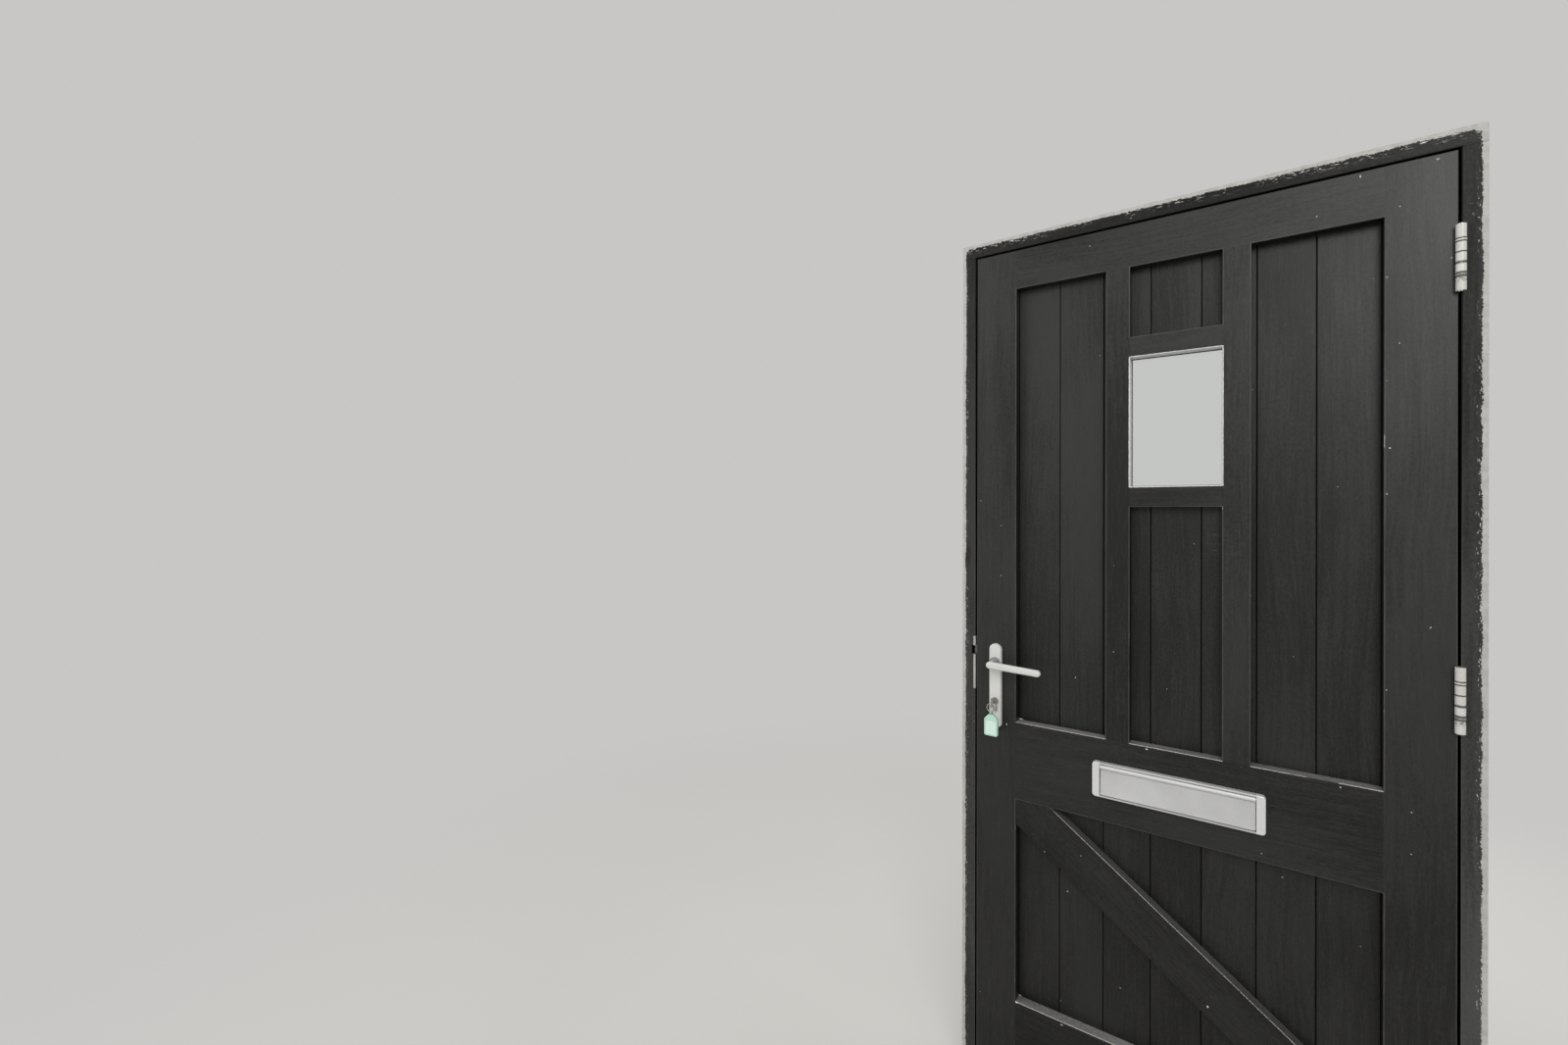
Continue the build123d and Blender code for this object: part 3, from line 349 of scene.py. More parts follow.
# rims that wear follows: the leaf's outline, the frame's rebate, the panels and the pane's sight
leafLow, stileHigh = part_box("lock_stile")
face, leafBack, halfLeaf = leafLow.y, stileHigh.y, -leafLow.x
leafFoot, leafTop, jambTop = leafLow.z, stileHigh.z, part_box("hinge_jamb")[1].z
panelTop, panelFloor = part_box("top_rail")[0].z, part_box("lock_rail")[1].z
lowPanelTop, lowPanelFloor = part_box("lock_rail")[0].z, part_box("bottom_rail")[1].z
halfPanels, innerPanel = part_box("top_rail")[1].x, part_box("hinge_side_muntin")[1].x
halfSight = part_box("hinge_side_muntin")[0].x
upperRail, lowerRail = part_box("upper_glazing_rail"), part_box("lower_glazing_rail")
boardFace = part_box("board_3")[0].y
frameGap = 0.003
rims = {
    "lockPanel": ((-halfPanels, face, panelFloor), (-innerPanel, face, panelTop)),
    "hingePanel": ((innerPanel, face, panelFloor), (halfPanels, face, panelTop)),
    "topPanel": ((-halfSight, face, upperRail[1].z), (halfSight, face, panelTop)),
    "middlePanel": ((-halfSight, face, panelFloor), (halfSight, face, lowerRail[0].z)),
    "sight": ((-halfSight, face, lowerRail[1].z), (halfSight, face, upperRail[0].z)),
    "lowPanel": ((-halfPanels, face, lowPanelFloor), (halfPanels, face, lowPanelTop)),
    "leaf": ((-halfLeaf, face, leafFoot), (halfLeaf, leafBack, leafTop)),
    "rebate": ((-halfLeaf - frameGap, face, -1.0), (halfLeaf + frameGap, face, jambTop)),
}
rims = {rim: middleAndHalf(*corners) for rim, corners in rims.items()}

# black paint: colours from dark to light at the foot and at the top, which paint a sheen that changes with
# height, and how far wear goes, in metres
blackPaint = {"leafLow": ("0b0b0a", "20201f"), "leafHigh": ("121211", "2b2b29"), "leafGloss": 0.32,
              "frameLow": ("323231", "484847"), "frameHigh": ("1f1f1e", "343433"), "frameGloss": 0.06,
              "knot": "0e0e0d", "pore": "4a4946", "rubbedAndHighlight": "6d6b66", "chip": "b9b6ae", "knock": "cbc9c3",
              "hollowShade": "060606", "gap": "050505", "joint": "040404", "dustAndLight": "838280",
              "plaster": "aeaca8", "plasterShade": "a2a09c", "plasterDash": "d5d3ce",
              "foot": 0.35, "top": 1.75, "roughness": 0.4, "wearWidth": 0.0013, "wearCover": 0.33,
              "ledgeCover": 0.62, "rubCover": 0.24}
oldPlaster = {"Half width": cadBox[1][0], "Top": cadBox[1][2], "Face": face + 0.0005, "Reach": 0.0082,
              "Corner": 0.022}
# the gap round the leaf: where it begins inside the leaf's edge, its middle, the depth of the stop behind it
# and the reach of its shadow at two heights
leafGap = {"lap": 0.0008, "middle": 0.0023, "stop": 0.0118, "line": 0.0027, "topLine": 0.0042,
           "lineHeight": 1.15, "topLineHeight": 1.8}
# how far behind the face the painted shade in the gap and the recesses begins and is full, how far in front
# of the boards it stops, and its strength in the recesses
hollowShadeDepths = {"begin": 0.0006, "full": 0.003, "offBoards": 0.0004, "recess": 0.55}
paneEdge = {"line": 0.0021, "colour": "dcdddb", "shade": "b3b4b2"}
boardJoint = {"tongue": 0.006, "grime": 0.0014}
braceEdge = {"width": 0.094, "line": 0.001, "cover": 0.66}
# how far a face looks up where the dust and the painted light from above begin and where they are full, and
# how much lies at each
dustAndLightSlope = {"ledge": (0.86, 0.97, 0.0, 1.0), "brace": (0.6, 0.8, 0.0, 0.42)}
specks = {"Cells per metre": 61.0, "Share": 0.06, "Size": 0.048}
grainShift = (7.3, 3.1, 5.7)
knocks = (
    # x, z, half width, half height and brokenness of each knock in the inner side's paint
    (0.3848, 1.2047, 0.0036, 0.0032, 3.0), (-0.3457, 0.896, 0.0014, 0.0034, 1.9),
    (-0.0497, 0.9003, 0.0032, 0.002, 1.9), (0.3322, 1.5188, 0.0018, 0.0018, 1.9),
    (0.2919, 2.0144, 0.0012, 0.0036, 1.9), (0.3931, 2.0142, 0.006, 0.0034, 3.0),
    (0.4362, 1.908, 0.0036, 0.0075, 3.4), (0.434, 1.9268, 0.009, 0.0009, 3.0),
    (0.0601, 0.4023, 0.0026, 0.0034, 2.2), (-0.2203, 0.2359, 0.0044, 0.0018, 2.2),
    (-0.2583, 0.6182, 0.0014, 0.0014, 1.9), (-0.2139, 0.5297, 0.0016, 0.0016, 1.9),
    (0.1808, 0.6928, 0.0014, 0.0014, 1.9), (-0.1042, 0.3547, 0.0015, 0.0015, 1.9),
    (-0.1977, 1.025, 0.0014, 0.0022, 1.9), (0.2655, 0.898, 0.0016, 0.0016, 1.9),
    (-0.321, 0.906, 0.0075, 0.0035, 1.9), (-0.322, 0.243, 0.0055, 0.0035, 1.9))
knockDepth = 0.002


def paintCoat(tree, grain, rubs, z, member):
    # the coat's tone follows the grain, and a painted sheen makes the leaf lighter towards the top and the
    # frame lighter towards the foot
    shade = add(tree, times(tree, grain["Drift"], 0.6), times(tree, grain["Lines"], 0.25),
                times(tree, grain["Mottle"], 0.25))
    paintedSheenHeight = ramp(tree, z, blackPaint["foot"], blackPaint["top"])
    dark, light = [over(tree, paintedSheenHeight, linear(foot), linear(top))
                   for foot, top in zip(blackPaint[member + "Low"], blackPaint[member + "High"])]
    colour = over(tree, ramp(tree, shade, 0.43, 0.67), dark, light)
    for mask, strength, layer in ((grain["Knots"], 0.5, "knot"), (grain["Pores"], 0.12, "pore"),
                                  (rubs, 0.22, "rubbedAndHighlight")):
        colour = over(tree, times(tree, mask, strength), colour, linear(blackPaint[layer]))
    return colour


def paintHollowShade(tree, colour, y, pastLeaf):
    # painted shade: the gap round the leaf and the sides of the recesses are darker than the faces
    behind = times(tree, ramp(tree, y, face + hollowShadeDepths["begin"], face + hollowShadeDepths["full"]),
                   below(tree, y, leafGap["stop"]))
    inGap = times(tree, behind, above(tree, pastLeaf, 0.0))
    inRecess = times(tree, behind, below(tree, y, boardFace - hollowShadeDepths["offBoards"]))
    hollowShade = most(tree, inGap, times(tree, inRecess, hollowShadeDepths["recess"]))
    return over(tree, hollowShade, colour, linear(blackPaint["hollowShade"]))


def dustAndTopLight(tree, facing, grain, slope):
    # dust and painted light from above lie where a face looks up, in patches that follow the grain's drift
    patches = add(tree, times(tree, grain["Drift"], 0.6), times(tree, grain["Mottle"], 0.4))
    upward = ramp(tree, axes(tree, facing)[2], *dustAndLightSlope[slope])
    return times(tree, upward, ramp(tree, patches, 0.35, 0.62, 0.5, 0.95))


def jointGrime(tree, colour, x, low, high):
    # grime fills the joints between boards, and shows as a hairline on the outer side
    nearest = least(tree, apart(tree, x, low.x), apart(tree, x, high.x - boardJoint["tongue"]))
    filled = ramp(tree, nearest, boardJoint["grime"] * 0.4, boardJoint["grime"], 1.0, 0.0)
    return over(tree, times(tree, filled, 0.9), colour, linear(blackPaint["joint"]))


def edgeWearAndHighlight(tree, colour, place, distance, width, cover, rubAndHighlight, chips):
    # rubbed and chipped paint within a width of an edge, with a painted highlight in the rub
    wearAndHighlight = useGroup(tree, arrisWearAndHighlight, {"Place": place, "Distance": distance, "Width": width, "Cover": cover})
    colour = over(tree, times(tree, wearAndHighlight["RubAndHighlight"], rubAndHighlight), colour, linear(blackPaint["rubbedAndHighlight"]))
    return over(tree, times(tree, wearAndHighlight["Chips"], chips), colour, linear(blackPaint["chip"]))


def rimWearAndHighlight(tree, colour, place, z, node, nearRims):
    # the rails under the panels are worn, and carry a painted highlight, almost all along their upper arris
    low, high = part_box(node)
    reached = [useGroup(tree, rimDistance, {"Place": place, "Centre": rims[rim][0], "Half": rims[rim][1]})
               ["Distance"] for rim in nearRims]
    cover = blackPaint["wearCover"]
    if node in ("lock_rail", "bottom_rail"):
        cover = ramp(tree, z, (low.z + high.z) / 2, high.z, cover, blackPaint["ledgeCover"])
    return edgeWearAndHighlight(tree, colour, place, least(tree, *reached), blackPaint["wearWidth"], cover, 0.36, 0.8)


def gapShadow(tree, colour, y, z, pastLeaf):
    # grime and shadow along the leaf's gap, wider towards the top
    width = ramp(tree, z, leafGap["lineHeight"], leafGap["topLineHeight"], leafGap["line"],
                 leafGap["topLine"])
    fromGap = apart(tree, pastLeaf, leafGap["middle"])
    along = times(tree, ramp(tree, fromGap, times(tree, width, 0.75), width, 0.92, 0.0),
                  below(tree, y, leafGap["stop"]))
    return over(tree, along, colour, linear(blackPaint["gap"]))


def braceWearAndHighlight(tree, colour, place, low, high):
    # the brace's upper arris is a thin pale line of wear and painted highlight: the hypotenuse of the height
    # above the brace's middle line, less half its width, and of the depth behind its face
    x, y, z = axes(tree, place)
    slope = math.atan2(high.z - low.z, high.x - low.x)
    aboveMiddle = add(tree, times(tree, x, math.sin(slope)),
                      times(tree, minus(tree, z, (low.z + high.z) / 2), math.cos(slope)))
    fromArris = hypotenuse(tree, apart(tree, aboveMiddle, braceEdge["width"] / 2), minus(tree, y, face))
    return edgeWearAndHighlight(tree, colour, place, fromArris, braceEdge["line"], braceEdge["cover"], 0.4, 0.9)


def specksAndKnocks(tree, colour, place, low, high):
    chipped = useGroup(tree, paintSpecks, {"Place": place, **specks})["Specks"]
    colour = over(tree, times(tree, chipped, 0.75), colour, linear(blackPaint["chip"]))
    for x, z, halfWidth, halfHeight, broken in knocks:
        if low.x <= x <= high.x and low.z <= z <= high.z:
            mark = useGroup(tree, paintMark, {"Place": place, "Where": (x, low.y, z), "Broken": broken,
                                              "Size": (halfWidth, knockDepth, halfHeight)})["Mark"]
            colour = over(tree, times(tree, mark, 0.85), colour, linear(blackPaint["knock"]))
    return colour


def paneLine(tree, colour, place, y):
    # a pale line of uneven width round the pane's sight, on the inner side
    line = paneEdge["line"]
    fromSight = outlineDistance(tree, place, *rims["sight"])
    reach = add(tree, line * 0.7, times(tree, noise(tree, place, 120), line * 0.6))
    onLine = times(tree, ramp(tree, fromSight, times(tree, reach, 0.8), reach, 1.0, 0.0), below(tree, y, 0.0))
    tint = over(tree, noise(tree, place, 60), linear(paneEdge["shade"]), linear(paneEdge["colour"]))
    return over(tree, onLine, colour, tint)


def plastered(tree, place, colour, height, rough):
    # old plaster is paler, raised and rougher than the paint it lies on
    residue = useGroup(tree, plasterEdge, {"Place": place, **oldPlaster})
    paleness = ramp(tree, noise(tree, place, 75, 3, 0.6), 0.35, 0.65)
    plaster = over(tree, paleness, linear(blackPaint["plasterShade"]), linear(blackPaint["plaster"]))
    colour = over(tree, times(tree, residue["Dashes"], 0.95), colour, linear(blackPaint["plasterDash"]))
    colour = over(tree, residue["Plaster"], colour, plaster)
    height = add(tree, height, times(tree, residue["Lumps"], 0.9))
    return colour, height, most(tree, rough, times(tree, residue["Plaster"], 0.85))


def paintTimber(node, nearRims, turn, member):
    # old black paint on one piece, layer over layer: its grain is turned to run along the piece, and shifted
    # to a stretch of its own
    material, tree, shader, place = newMaterial("blackPaint_" + node)
    facing = tree.nodes["Texture Coordinate"].outputs["Normal"]
    low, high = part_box(node)
    turned = newNode(tree, "ShaderNodeMapping", {
        "Vector": place, "Rotation": [math.radians(angle) for angle in turn],
        "Location": [a * b for a, b in zip((low.x, low.z, high.x), grainShift)]})[0]
    grain = useGroup(tree, timberGrain, {"Place": turned})
    rubs = useGroup(tree, rubMarks, {"Place": place, "Cover": blackPaint["rubCover"]})["Rubs"]
    x, y, z = axes(tree, place)
    pastLeaf = most(tree, minus(tree, maths(tree, "ABSOLUTE", x), halfLeaf - leafGap["lap"]),
                    minus(tree, z, leafTop - leafGap["lap"]))
    dustAndLight = dustAndTopLight(tree, facing, grain, "brace" if node == "brace" else "ledge")
    colour = paintCoat(tree, grain, rubs, z, member)
    colour = paintHollowShade(tree, colour, y, pastLeaf)
    colour = over(tree, dustAndLight, colour, linear(blackPaint["dustAndLight"]))
    if node.startswith("board"):
        colour = jointGrime(tree, colour, x, low, high)
    if nearRims:
        colour = rimWearAndHighlight(tree, colour, place, z, node, nearRims)
    colour = gapShadow(tree, colour, y, z, pastLeaf)
    if node == "brace":
        colour = braceWearAndHighlight(tree, colour, place, low, high)
    colour = specksAndKnocks(tree, colour, place, low, high)
    if "sight" in nearRims:
        colour = paneLine(tree, colour, place, y)
    height = add(tree, times(tree, grain["Lines"], 0.5), times(tree, grain["Mottle"], 0.5),
                 times(tree, grain["Pores"], -0.4))
    rough = add(tree, blackPaint["roughness"], times(tree, rubs, 0.2), times(tree, dustAndLight, 0.3))
    if member == "frame":
        colour, height, rough = plastered(tree, place, colour, height, rough)
    feedAll(tree, shader.inputs, {"Base Color": colour, "Roughness": rough,
                                  "Normal": bump(tree, height, 0.3, 0.0004),
                                  "Specular IOR Level": blackPaint[member + "Gloss"]})
    return material


def dress(name, material):
    # the carried-over solid takes the material in every slot it has
    mesh = nodes[name].data
    if not mesh.materials:
        mesh.materials.append(material)
    for index in range(len(mesh.materials)):
        mesh.materials[index] = material


# the worn rims near each painted piece, the turn that lays its grain along it and the coat it has
upright, alongX, alongBrace = (0, 0, 0), (0, 90, 0), (0, 53.5, 0)
painted = {
    "lock_jamb": (("rebate",), upright, "frame"),
    "hinge_jamb": (("rebate",), upright, "frame"),
    "head": (("rebate",), alongX, "frame"),
    "sill": ((), alongX, "leaf"),
    "lock_stile": (("leaf", "lockPanel", "lowPanel"), upright, "leaf"),
    "hinge_stile": (("leaf", "hingePanel", "lowPanel"), upright, "leaf"),
    "lock_side_muntin": (("lockPanel", "topPanel", "sight", "middlePanel"), upright, "leaf"),
    "hinge_side_muntin": (("hingePanel", "topPanel", "sight", "middlePanel"), upright, "leaf"),
    "top_rail": (("leaf", "lockPanel", "topPanel", "hingePanel"), alongX, "leaf"),
    "lock_rail": (("lockPanel", "middlePanel", "hingePanel", "lowPanel"), alongX, "leaf"),
    "bottom_rail": (("leaf", "lowPanel"), alongX, "leaf"),
    "upper_glazing_rail": (("topPanel", "sight"), alongX, "leaf"),
    "lower_glazing_rail": (("sight", "middlePanel"), alongX, "leaf"),
    "brace": ((), alongBrace, "leaf"),
    "glazing_beads": ((), alongX, "leaf"),
    **{"board_%d" % count: ((), upright, "leaf") for count in range(1, 8)},
}
for node, (nearRims, turn, member) in painted.items():
    dress(node, paintTimber(node, nearRims, turn, member))
print("timber painted")


def plainFinish(name, dark, light, roughness, metallic=0.0):
    # a finish whose tone and roughness drift over the surface
    material, tree, shader, place = newMaterial(name)
    fine = noise(tree, place, 640, 2, 0.6)
    drift = add(tree, times(tree, noise(tree, place, 10, 3, 0.55), 0.7), times(tree, fine, 0.3))
    colour = over(tree, ramp(tree, drift, 0.3, 0.7), linear(dark), linear(light))
    rough = maths(tree, "MULTIPLY_ADD", drift, 0.16, roughness - 0.08)
    feedAll(tree, shader.inputs, {"Base Color": colour, "Roughness": rough, "Metallic": metallic,
                                  "Normal": bump(tree, fine, 0.1, 0.0002)})
    return material


def layDirtAndLight(material, mask, colour, strength, roughness=None):
    # dirt, painted shade, a painted highlight or another tone laid over a finish where the mask is 1, and
    # rougher where that is given
    tree = material.node_tree
    shader = tree.nodes["Principled BSDF"]
    under = shader.inputs["Base Color"].links[0].from_socket
    feed(tree, shader.inputs["Base Color"], over(tree, times(tree, mask, strength), under, linear(colour)))
    if roughness is not None:
        smooth = shader.inputs["Roughness"].links[0].from_socket
        feed(tree, shader.inputs["Roughness"], most(tree, smooth, times(tree, mask, roughness)))


# each finish: dark and light colour, roughness and metallic, and the nodes that take it
finishes = {
    "sealRubber": (("191919", "262626", 0.6),
                   ("hinge_side_seal", "lock_side_seal", "head_seal", "glazing_tape")),
    "hingePaint": (("b1afa9", "c7c5c0", 0.42),
                   ("door_hinge_leaves", "frame_hinge_leaves", "hinge_bearings")),
    "hingeSteel": (("9a9893", "bdbab4", 0.32, 0.85), ("hinge_pins",)),
    "screwSteel": (("b5b2ac", "d2cfc9", 0.4, 0.6),
                   ("frame_screws", "door_screws", "letter_bolts", "cylinder_screw")),
    "strikeSteel": (("a9a7a2", "cac8c3", 0.35, 0.8), ("strike_plate", "forend", "water_bar")),
    "lockSteel": (("8b8985", "a9a7a2", 0.4, 0.9),
                  ("lock_case", "latch_spring", "latch_bolt", "deadbolt", "lever_spindle", "lock_follower")),
    "cylinderNickel": (("a8a6a0", "c9c7c1", 0.25, 0.9),
                       ("cylinder_body", "outer_plug", "inner_plug", "cylinder_cam")),
    "keyNickel": (("a8a6a0", "cfcdc7", 0.25, 0.95), ("key", "key_ring")),
    "tagGreen": (("a4c8b5", "b1d2c1", 0.35), ("key_tag",)),
    "handleWhite": (("bfc0bc", "cbcbc8", 0.32),
                    ("inner_lever", "outer_lever", "inner_backplate", "outer_backplate", "handle_screws")),
    "letterAluminium": (("b4b4b3", "c2c2c1", 0.34, 0.3),
                        ("inner_letter_frame", "outer_letter_frame", "inner_flap", "outer_flap")),
}
made = {}
for name, (values, dressed) in finishes.items():
    made[name] = plainFinish(name, *values)
    for node in dressed:
        dress(node, made[name])

# hinges: their centres, the joints between knuckles above and below each centre, and how far grime goes
hinge = {"centres": (0.292, 1.086, 1.836), "joints": (0.009, 0.0268, 0.032), "joint": 0.0016,
         "worn": 0.0012, "lowRing": -0.034, "ringNear": 0.003, "ringFar": 0.012,
         "grime": "23211f", "bare": "55524e", "runs": "9d9a93"}


def soilHinges():
    # grime in the joints, more of it below the centre, and paint broken away round the lowest ring
    material = made["hingePaint"]
    tree, place = material.node_tree, patternPlace(material)
    height = axes(tree, place)[2]
    low, middle, high = hinge["centres"]
    centre = add(tree, low, times(tree, above(tree, height, (low + middle) / 2), middle - low),
                 times(tree, above(tree, height, (middle + high) / 2), high - middle))
    local = minus(tree, height, centre)
    fromJoint = least(tree, *[apart(tree, maths(tree, "ABSOLUTE", local), joint)
                              for joint in hinge["joints"]])
    width = add(tree, hinge["joint"], times(tree, below(tree, local, 0.0), hinge["worn"]))
    reach = times(tree, noise(tree, place, 500, 3, 0.7), width)
    layDirtAndLight(material, ramp(tree, fromJoint, reach, times(tree, reach, 2.2), 1.0, 0.0),
         hinge["grime"], 0.85, 0.7)
    onRing = ramp(tree, apart(tree, local, hinge["lowRing"]), hinge["ringNear"], hinge["ringFar"], 1.0, 0.0)
    broken = ramp(tree, noise(tree, place, 290, 3, 0.7), 0.48, 0.55)
    layDirtAndLight(material, times(tree, onRing, broken), hinge["bare"], 0.8, 0.6)
    runs = ramp(tree, noise(tree, place, (240, 240, 60), 3, 0.6), 0.6, 0.7)
    layDirtAndLight(material, runs, hinge["runs"], 0.35)


# handles: the neck lies between two distances from the leaf's middle, within a radius of the spindle
handle = {"neckStart": 0.0322, "neckEnd": 0.0595, "neckRadius": 0.0134, "neckGrey": "7d7c79"}


def darkenNecks():
    # the neck and its collar are painted darker than the white lever and plate
    material = made["handleWhite"]
    tree, place = material.node_tree, patternPlace(material)
    spindle = middleAndHalf(*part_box("lever_spindle"))[0]
    x, y, z = axes(tree, place)
    fromSpindle = hypotenuse(tree, minus(tree, x, spindle[0]), minus(tree, z, spindle[2]))
    depth = apart(tree, y, (face + leafBack) / 2)
    onNeck = times(tree, above(tree, depth, handle["neckStart"]), below(tree, depth, handle["neckEnd"]))
    layDirtAndLight(material, times(tree, onNeck, below(tree, fromSpindle, handle["neckRadius"])),
         handle["neckGrey"], 0.85)


# letter plate: how far the opening's ends and edges lie from the flap, how far the painted shade round the
# flap reaches, and where the rod's painted highlight shows
letterPlate = {"endInset": 0.0076, "edgeGap": 0.0004, "shadeNear": 0.0004, "shadeFar": 0.0011,
               "rodBelow": 0.0094, "rodAbove": 0.0002,
               "grime": "2b2a29", "scratch": "e4e4e2", "rodAndEndHighlight": "d9d9d8"}


def letterPlateMarksAndLight():
    # painted shade in the gap round the flap, faint scratches across the satin face, and a painted highlight
    # on the rod and the plate's ends
    material = made["letterAluminium"]
    tree, place = material.node_tree, patternPlace(material)
    low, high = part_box("inner_flap")
    endInset, edgeGap = letterPlate["endInset"], letterPlate["edgeGap"]
    centre, half = middleAndHalf((low.x + endInset, 0, low.z - edgeGap),
                                 (-low.x - endInset, 0, high.z + edgeGap))
    x, _, z = axes(tree, place)
    fromFlap = outlineDistance(tree, place, centre, half)
    # painted shade in the gap round the flap, darkest at its edge
    layDirtAndLight(material, ramp(tree, fromFlap, letterPlate["shadeNear"], letterPlate["shadeFar"], 1.0, 0.0),
         letterPlate["grime"], 0.85, 0.6)
    scratches = ramp(tree, noise(tree, place, (18, 30, 900), 2, 0.6), 0.66, 0.7)
    layDirtAndLight(material, scratches, letterPlate["scratch"], 0.15)
    # a painted highlight makes the rod and the plate's ends paler
    pastEnds = above(tree, maths(tree, "ABSOLUTE", x), half[0] + edgeGap)
    onRod = times(tree, above(tree, z, high.z - letterPlate["rodBelow"]),
                  below(tree, z, high.z + letterPlate["rodAbove"]))
    layDirtAndLight(material, most(tree, pastEnds, onRod), letterPlate["rodAndEndHighlight"], 0.75)


glass = {"tint": (0.96, 0.985, 0.97, 1), "ior": 1.45, "smears": (14, 14, 9), "haze": 0.05}


def makeGlass():
    # clear glass whose roughness rises a little in broad smears
    material, tree, shader, place = newMaterial("clearGlass")
    smears = noise(tree, place, glass["smears"], 3, 0.6)
    feedAll(tree, shader.inputs, {"Base Color": glass["tint"], "IOR": glass["ior"],
                                  "Transmission Weight": 1.0, "Normal": bump(tree, smears, 0.05, 0.0004),
                                  "Roughness": ramp(tree, smears, 0.4, 0.8, 0.0, glass["haze"])})
    return material


soilHinges()
darkenNecks()
letterPlateMarksAndLight()
dress("glass_pane", makeGlass())
print("hardware and glass dressed")


def newPiece(name, grids, body, material, replaced, mirror=None):
    # a skin over each grid of points, stations by profile points: every profile closes on itself, and the end
    # stations are filled, or joined where they are the same; mirror is a depth to reflect about, which also
    # turns the faces round
    points, faces, start = [], [], 0
    for grid in grids:
        joined = np.allclose(grid[0], grid[-1])
        grid = grid[:-1] if joined else grid
        stations, around = grid.shape[:2]
        station, point = np.meshgrid(np.arange(stations - (not joined)), np.arange(around), indexing="ij")
        onward, following = (point + 1) % around, (station + 1) % stations
        quads = np.stack([station * around + point, station * around + onward,
                          following * around + onward, following * around + point], 2).reshape(-1, 4)
        faces += (quads + start).tolist()
        if not joined:
            rim = np.arange(around) + start
            faces += [rim[::-1].tolist(), (rim + (stations - 1) * around).tolist()]
        points.append(grid.reshape(-1, 3))
        start += stations * around
    points = np.concatenate(points)
    if mirror is not None:
        points = points * (1, -1, 1) + (0, 2 * mirror, 0)
        faces = [corners[::-1] for corners in faces]
    mesh = bpy.data.meshes.new(name)
    mesh.from_pydata(points.tolist(), [], faces)
    mesh.polygons.foreach_set("use_smooth", np.ones(len(mesh.polygons), bool))
    mesh.set_sharp_from_angle(angle=math.radians(40))
    mesh.materials.append(material)
    piece = bpy.data.objects.new(name, mesh)
    bpy.context.collection.objects.link(piece)
    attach(piece, body)
    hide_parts(*replaced)


def arc(centre, radius, start, stop, steps):
    # points round a centre, from one angle in degrees to another
    angles = np.radians(np.linspace(start, stop, steps))
    return np.stack([centre[0] + radius * np.cos(angles), centre[1] + radius * np.sin(angles)], 1)


def carried(x, profile):
    # a profile in depth and height carried along X: every station is the same profile at its own x
    grid = np.zeros((len(x), len(profile), 3))
    grid[:, :, 0] = x[:, None]
    grid[:, :, 1:] = profile[None]
    return grid


def unitNormals(outline):
    # at each point of a closed outline, the line between its two neighbours turned a quarter, of length one
    along = np.roll(outline, -1, 0) - np.roll(outline, 1, 0)
    return np.stack([along[:, 1], -along[:, 0]], 1) / np.linalg.norm(along, axis=1)[:, None]


def squarish(angles, power=0.6):
    # a circle swollen towards a square: cosine and sine to a power below one, with their signs kept
    return [np.sign(wave) * np.abs(wave) ** power for wave in (np.cos(angles), np.sin(angles))]


# letter flaps: a rolled rod, a groove, a flat plate and a nosed lip, carried along X with eased ends
letterFlap = {"rod": 0.0048, "rodFrom": -72, "rodTo": 258, "front": 0.0096, "plate": 0.0025,
              "groove": 0.0009, "grooveIn": 0.0004, "grooveFoot": 0.0035, "lip": 0.0025,
              "lipSlope": 0.0016, "lipStep": 0.0006, "lipEdge": 0.0002, "nose": 0.0126,
              "noseRound": 0.0011, "noseHeight": 0.0012, "backFoot": 0.0003, "backJoin": 0.98, "ease": 0.0006,
              "corner": 0.004, "cornerRise": 0.012, "pin": 0.002, "pinReach": 0.008}


def flapProfile(low, high):
    # depth and height: up the back, round the rod, through the groove, down the front and round the nose
    rod, front = letterFlap["rod"], face - letterFlap["front"]
    back, nose = front + letterFlap["plate"], face - letterFlap["nose"]
    rodHeight, lipTop = high.z - rod, low.z + letterFlap["lip"]
    rodFoot, groove, noseRound = rodHeight - rod, letterFlap["groove"], letterFlap["noseRound"]
    return np.concatenate([
        [[back, low.z + letterFlap["backFoot"]], [back, rodHeight - rod * letterFlap["backJoin"]]],
        arc((low.y + rod, rodHeight), rod, letterFlap["rodFrom"], letterFlap["rodTo"], 44),
        arc((front + letterFlap["grooveIn"], rodFoot - groove), groove, 75, -100, 9),
        [[front, rodFoot - letterFlap["grooveFoot"]], [front, lipTop + letterFlap["lipSlope"]],
         [front - letterFlap["lipStep"], lipTop + letterFlap["lipEdge"]]],
        arc((nose + noseRound, low.z + letterFlap["noseHeight"]), noseRound, 140, 260, 7),
        [[front, low.z]]])


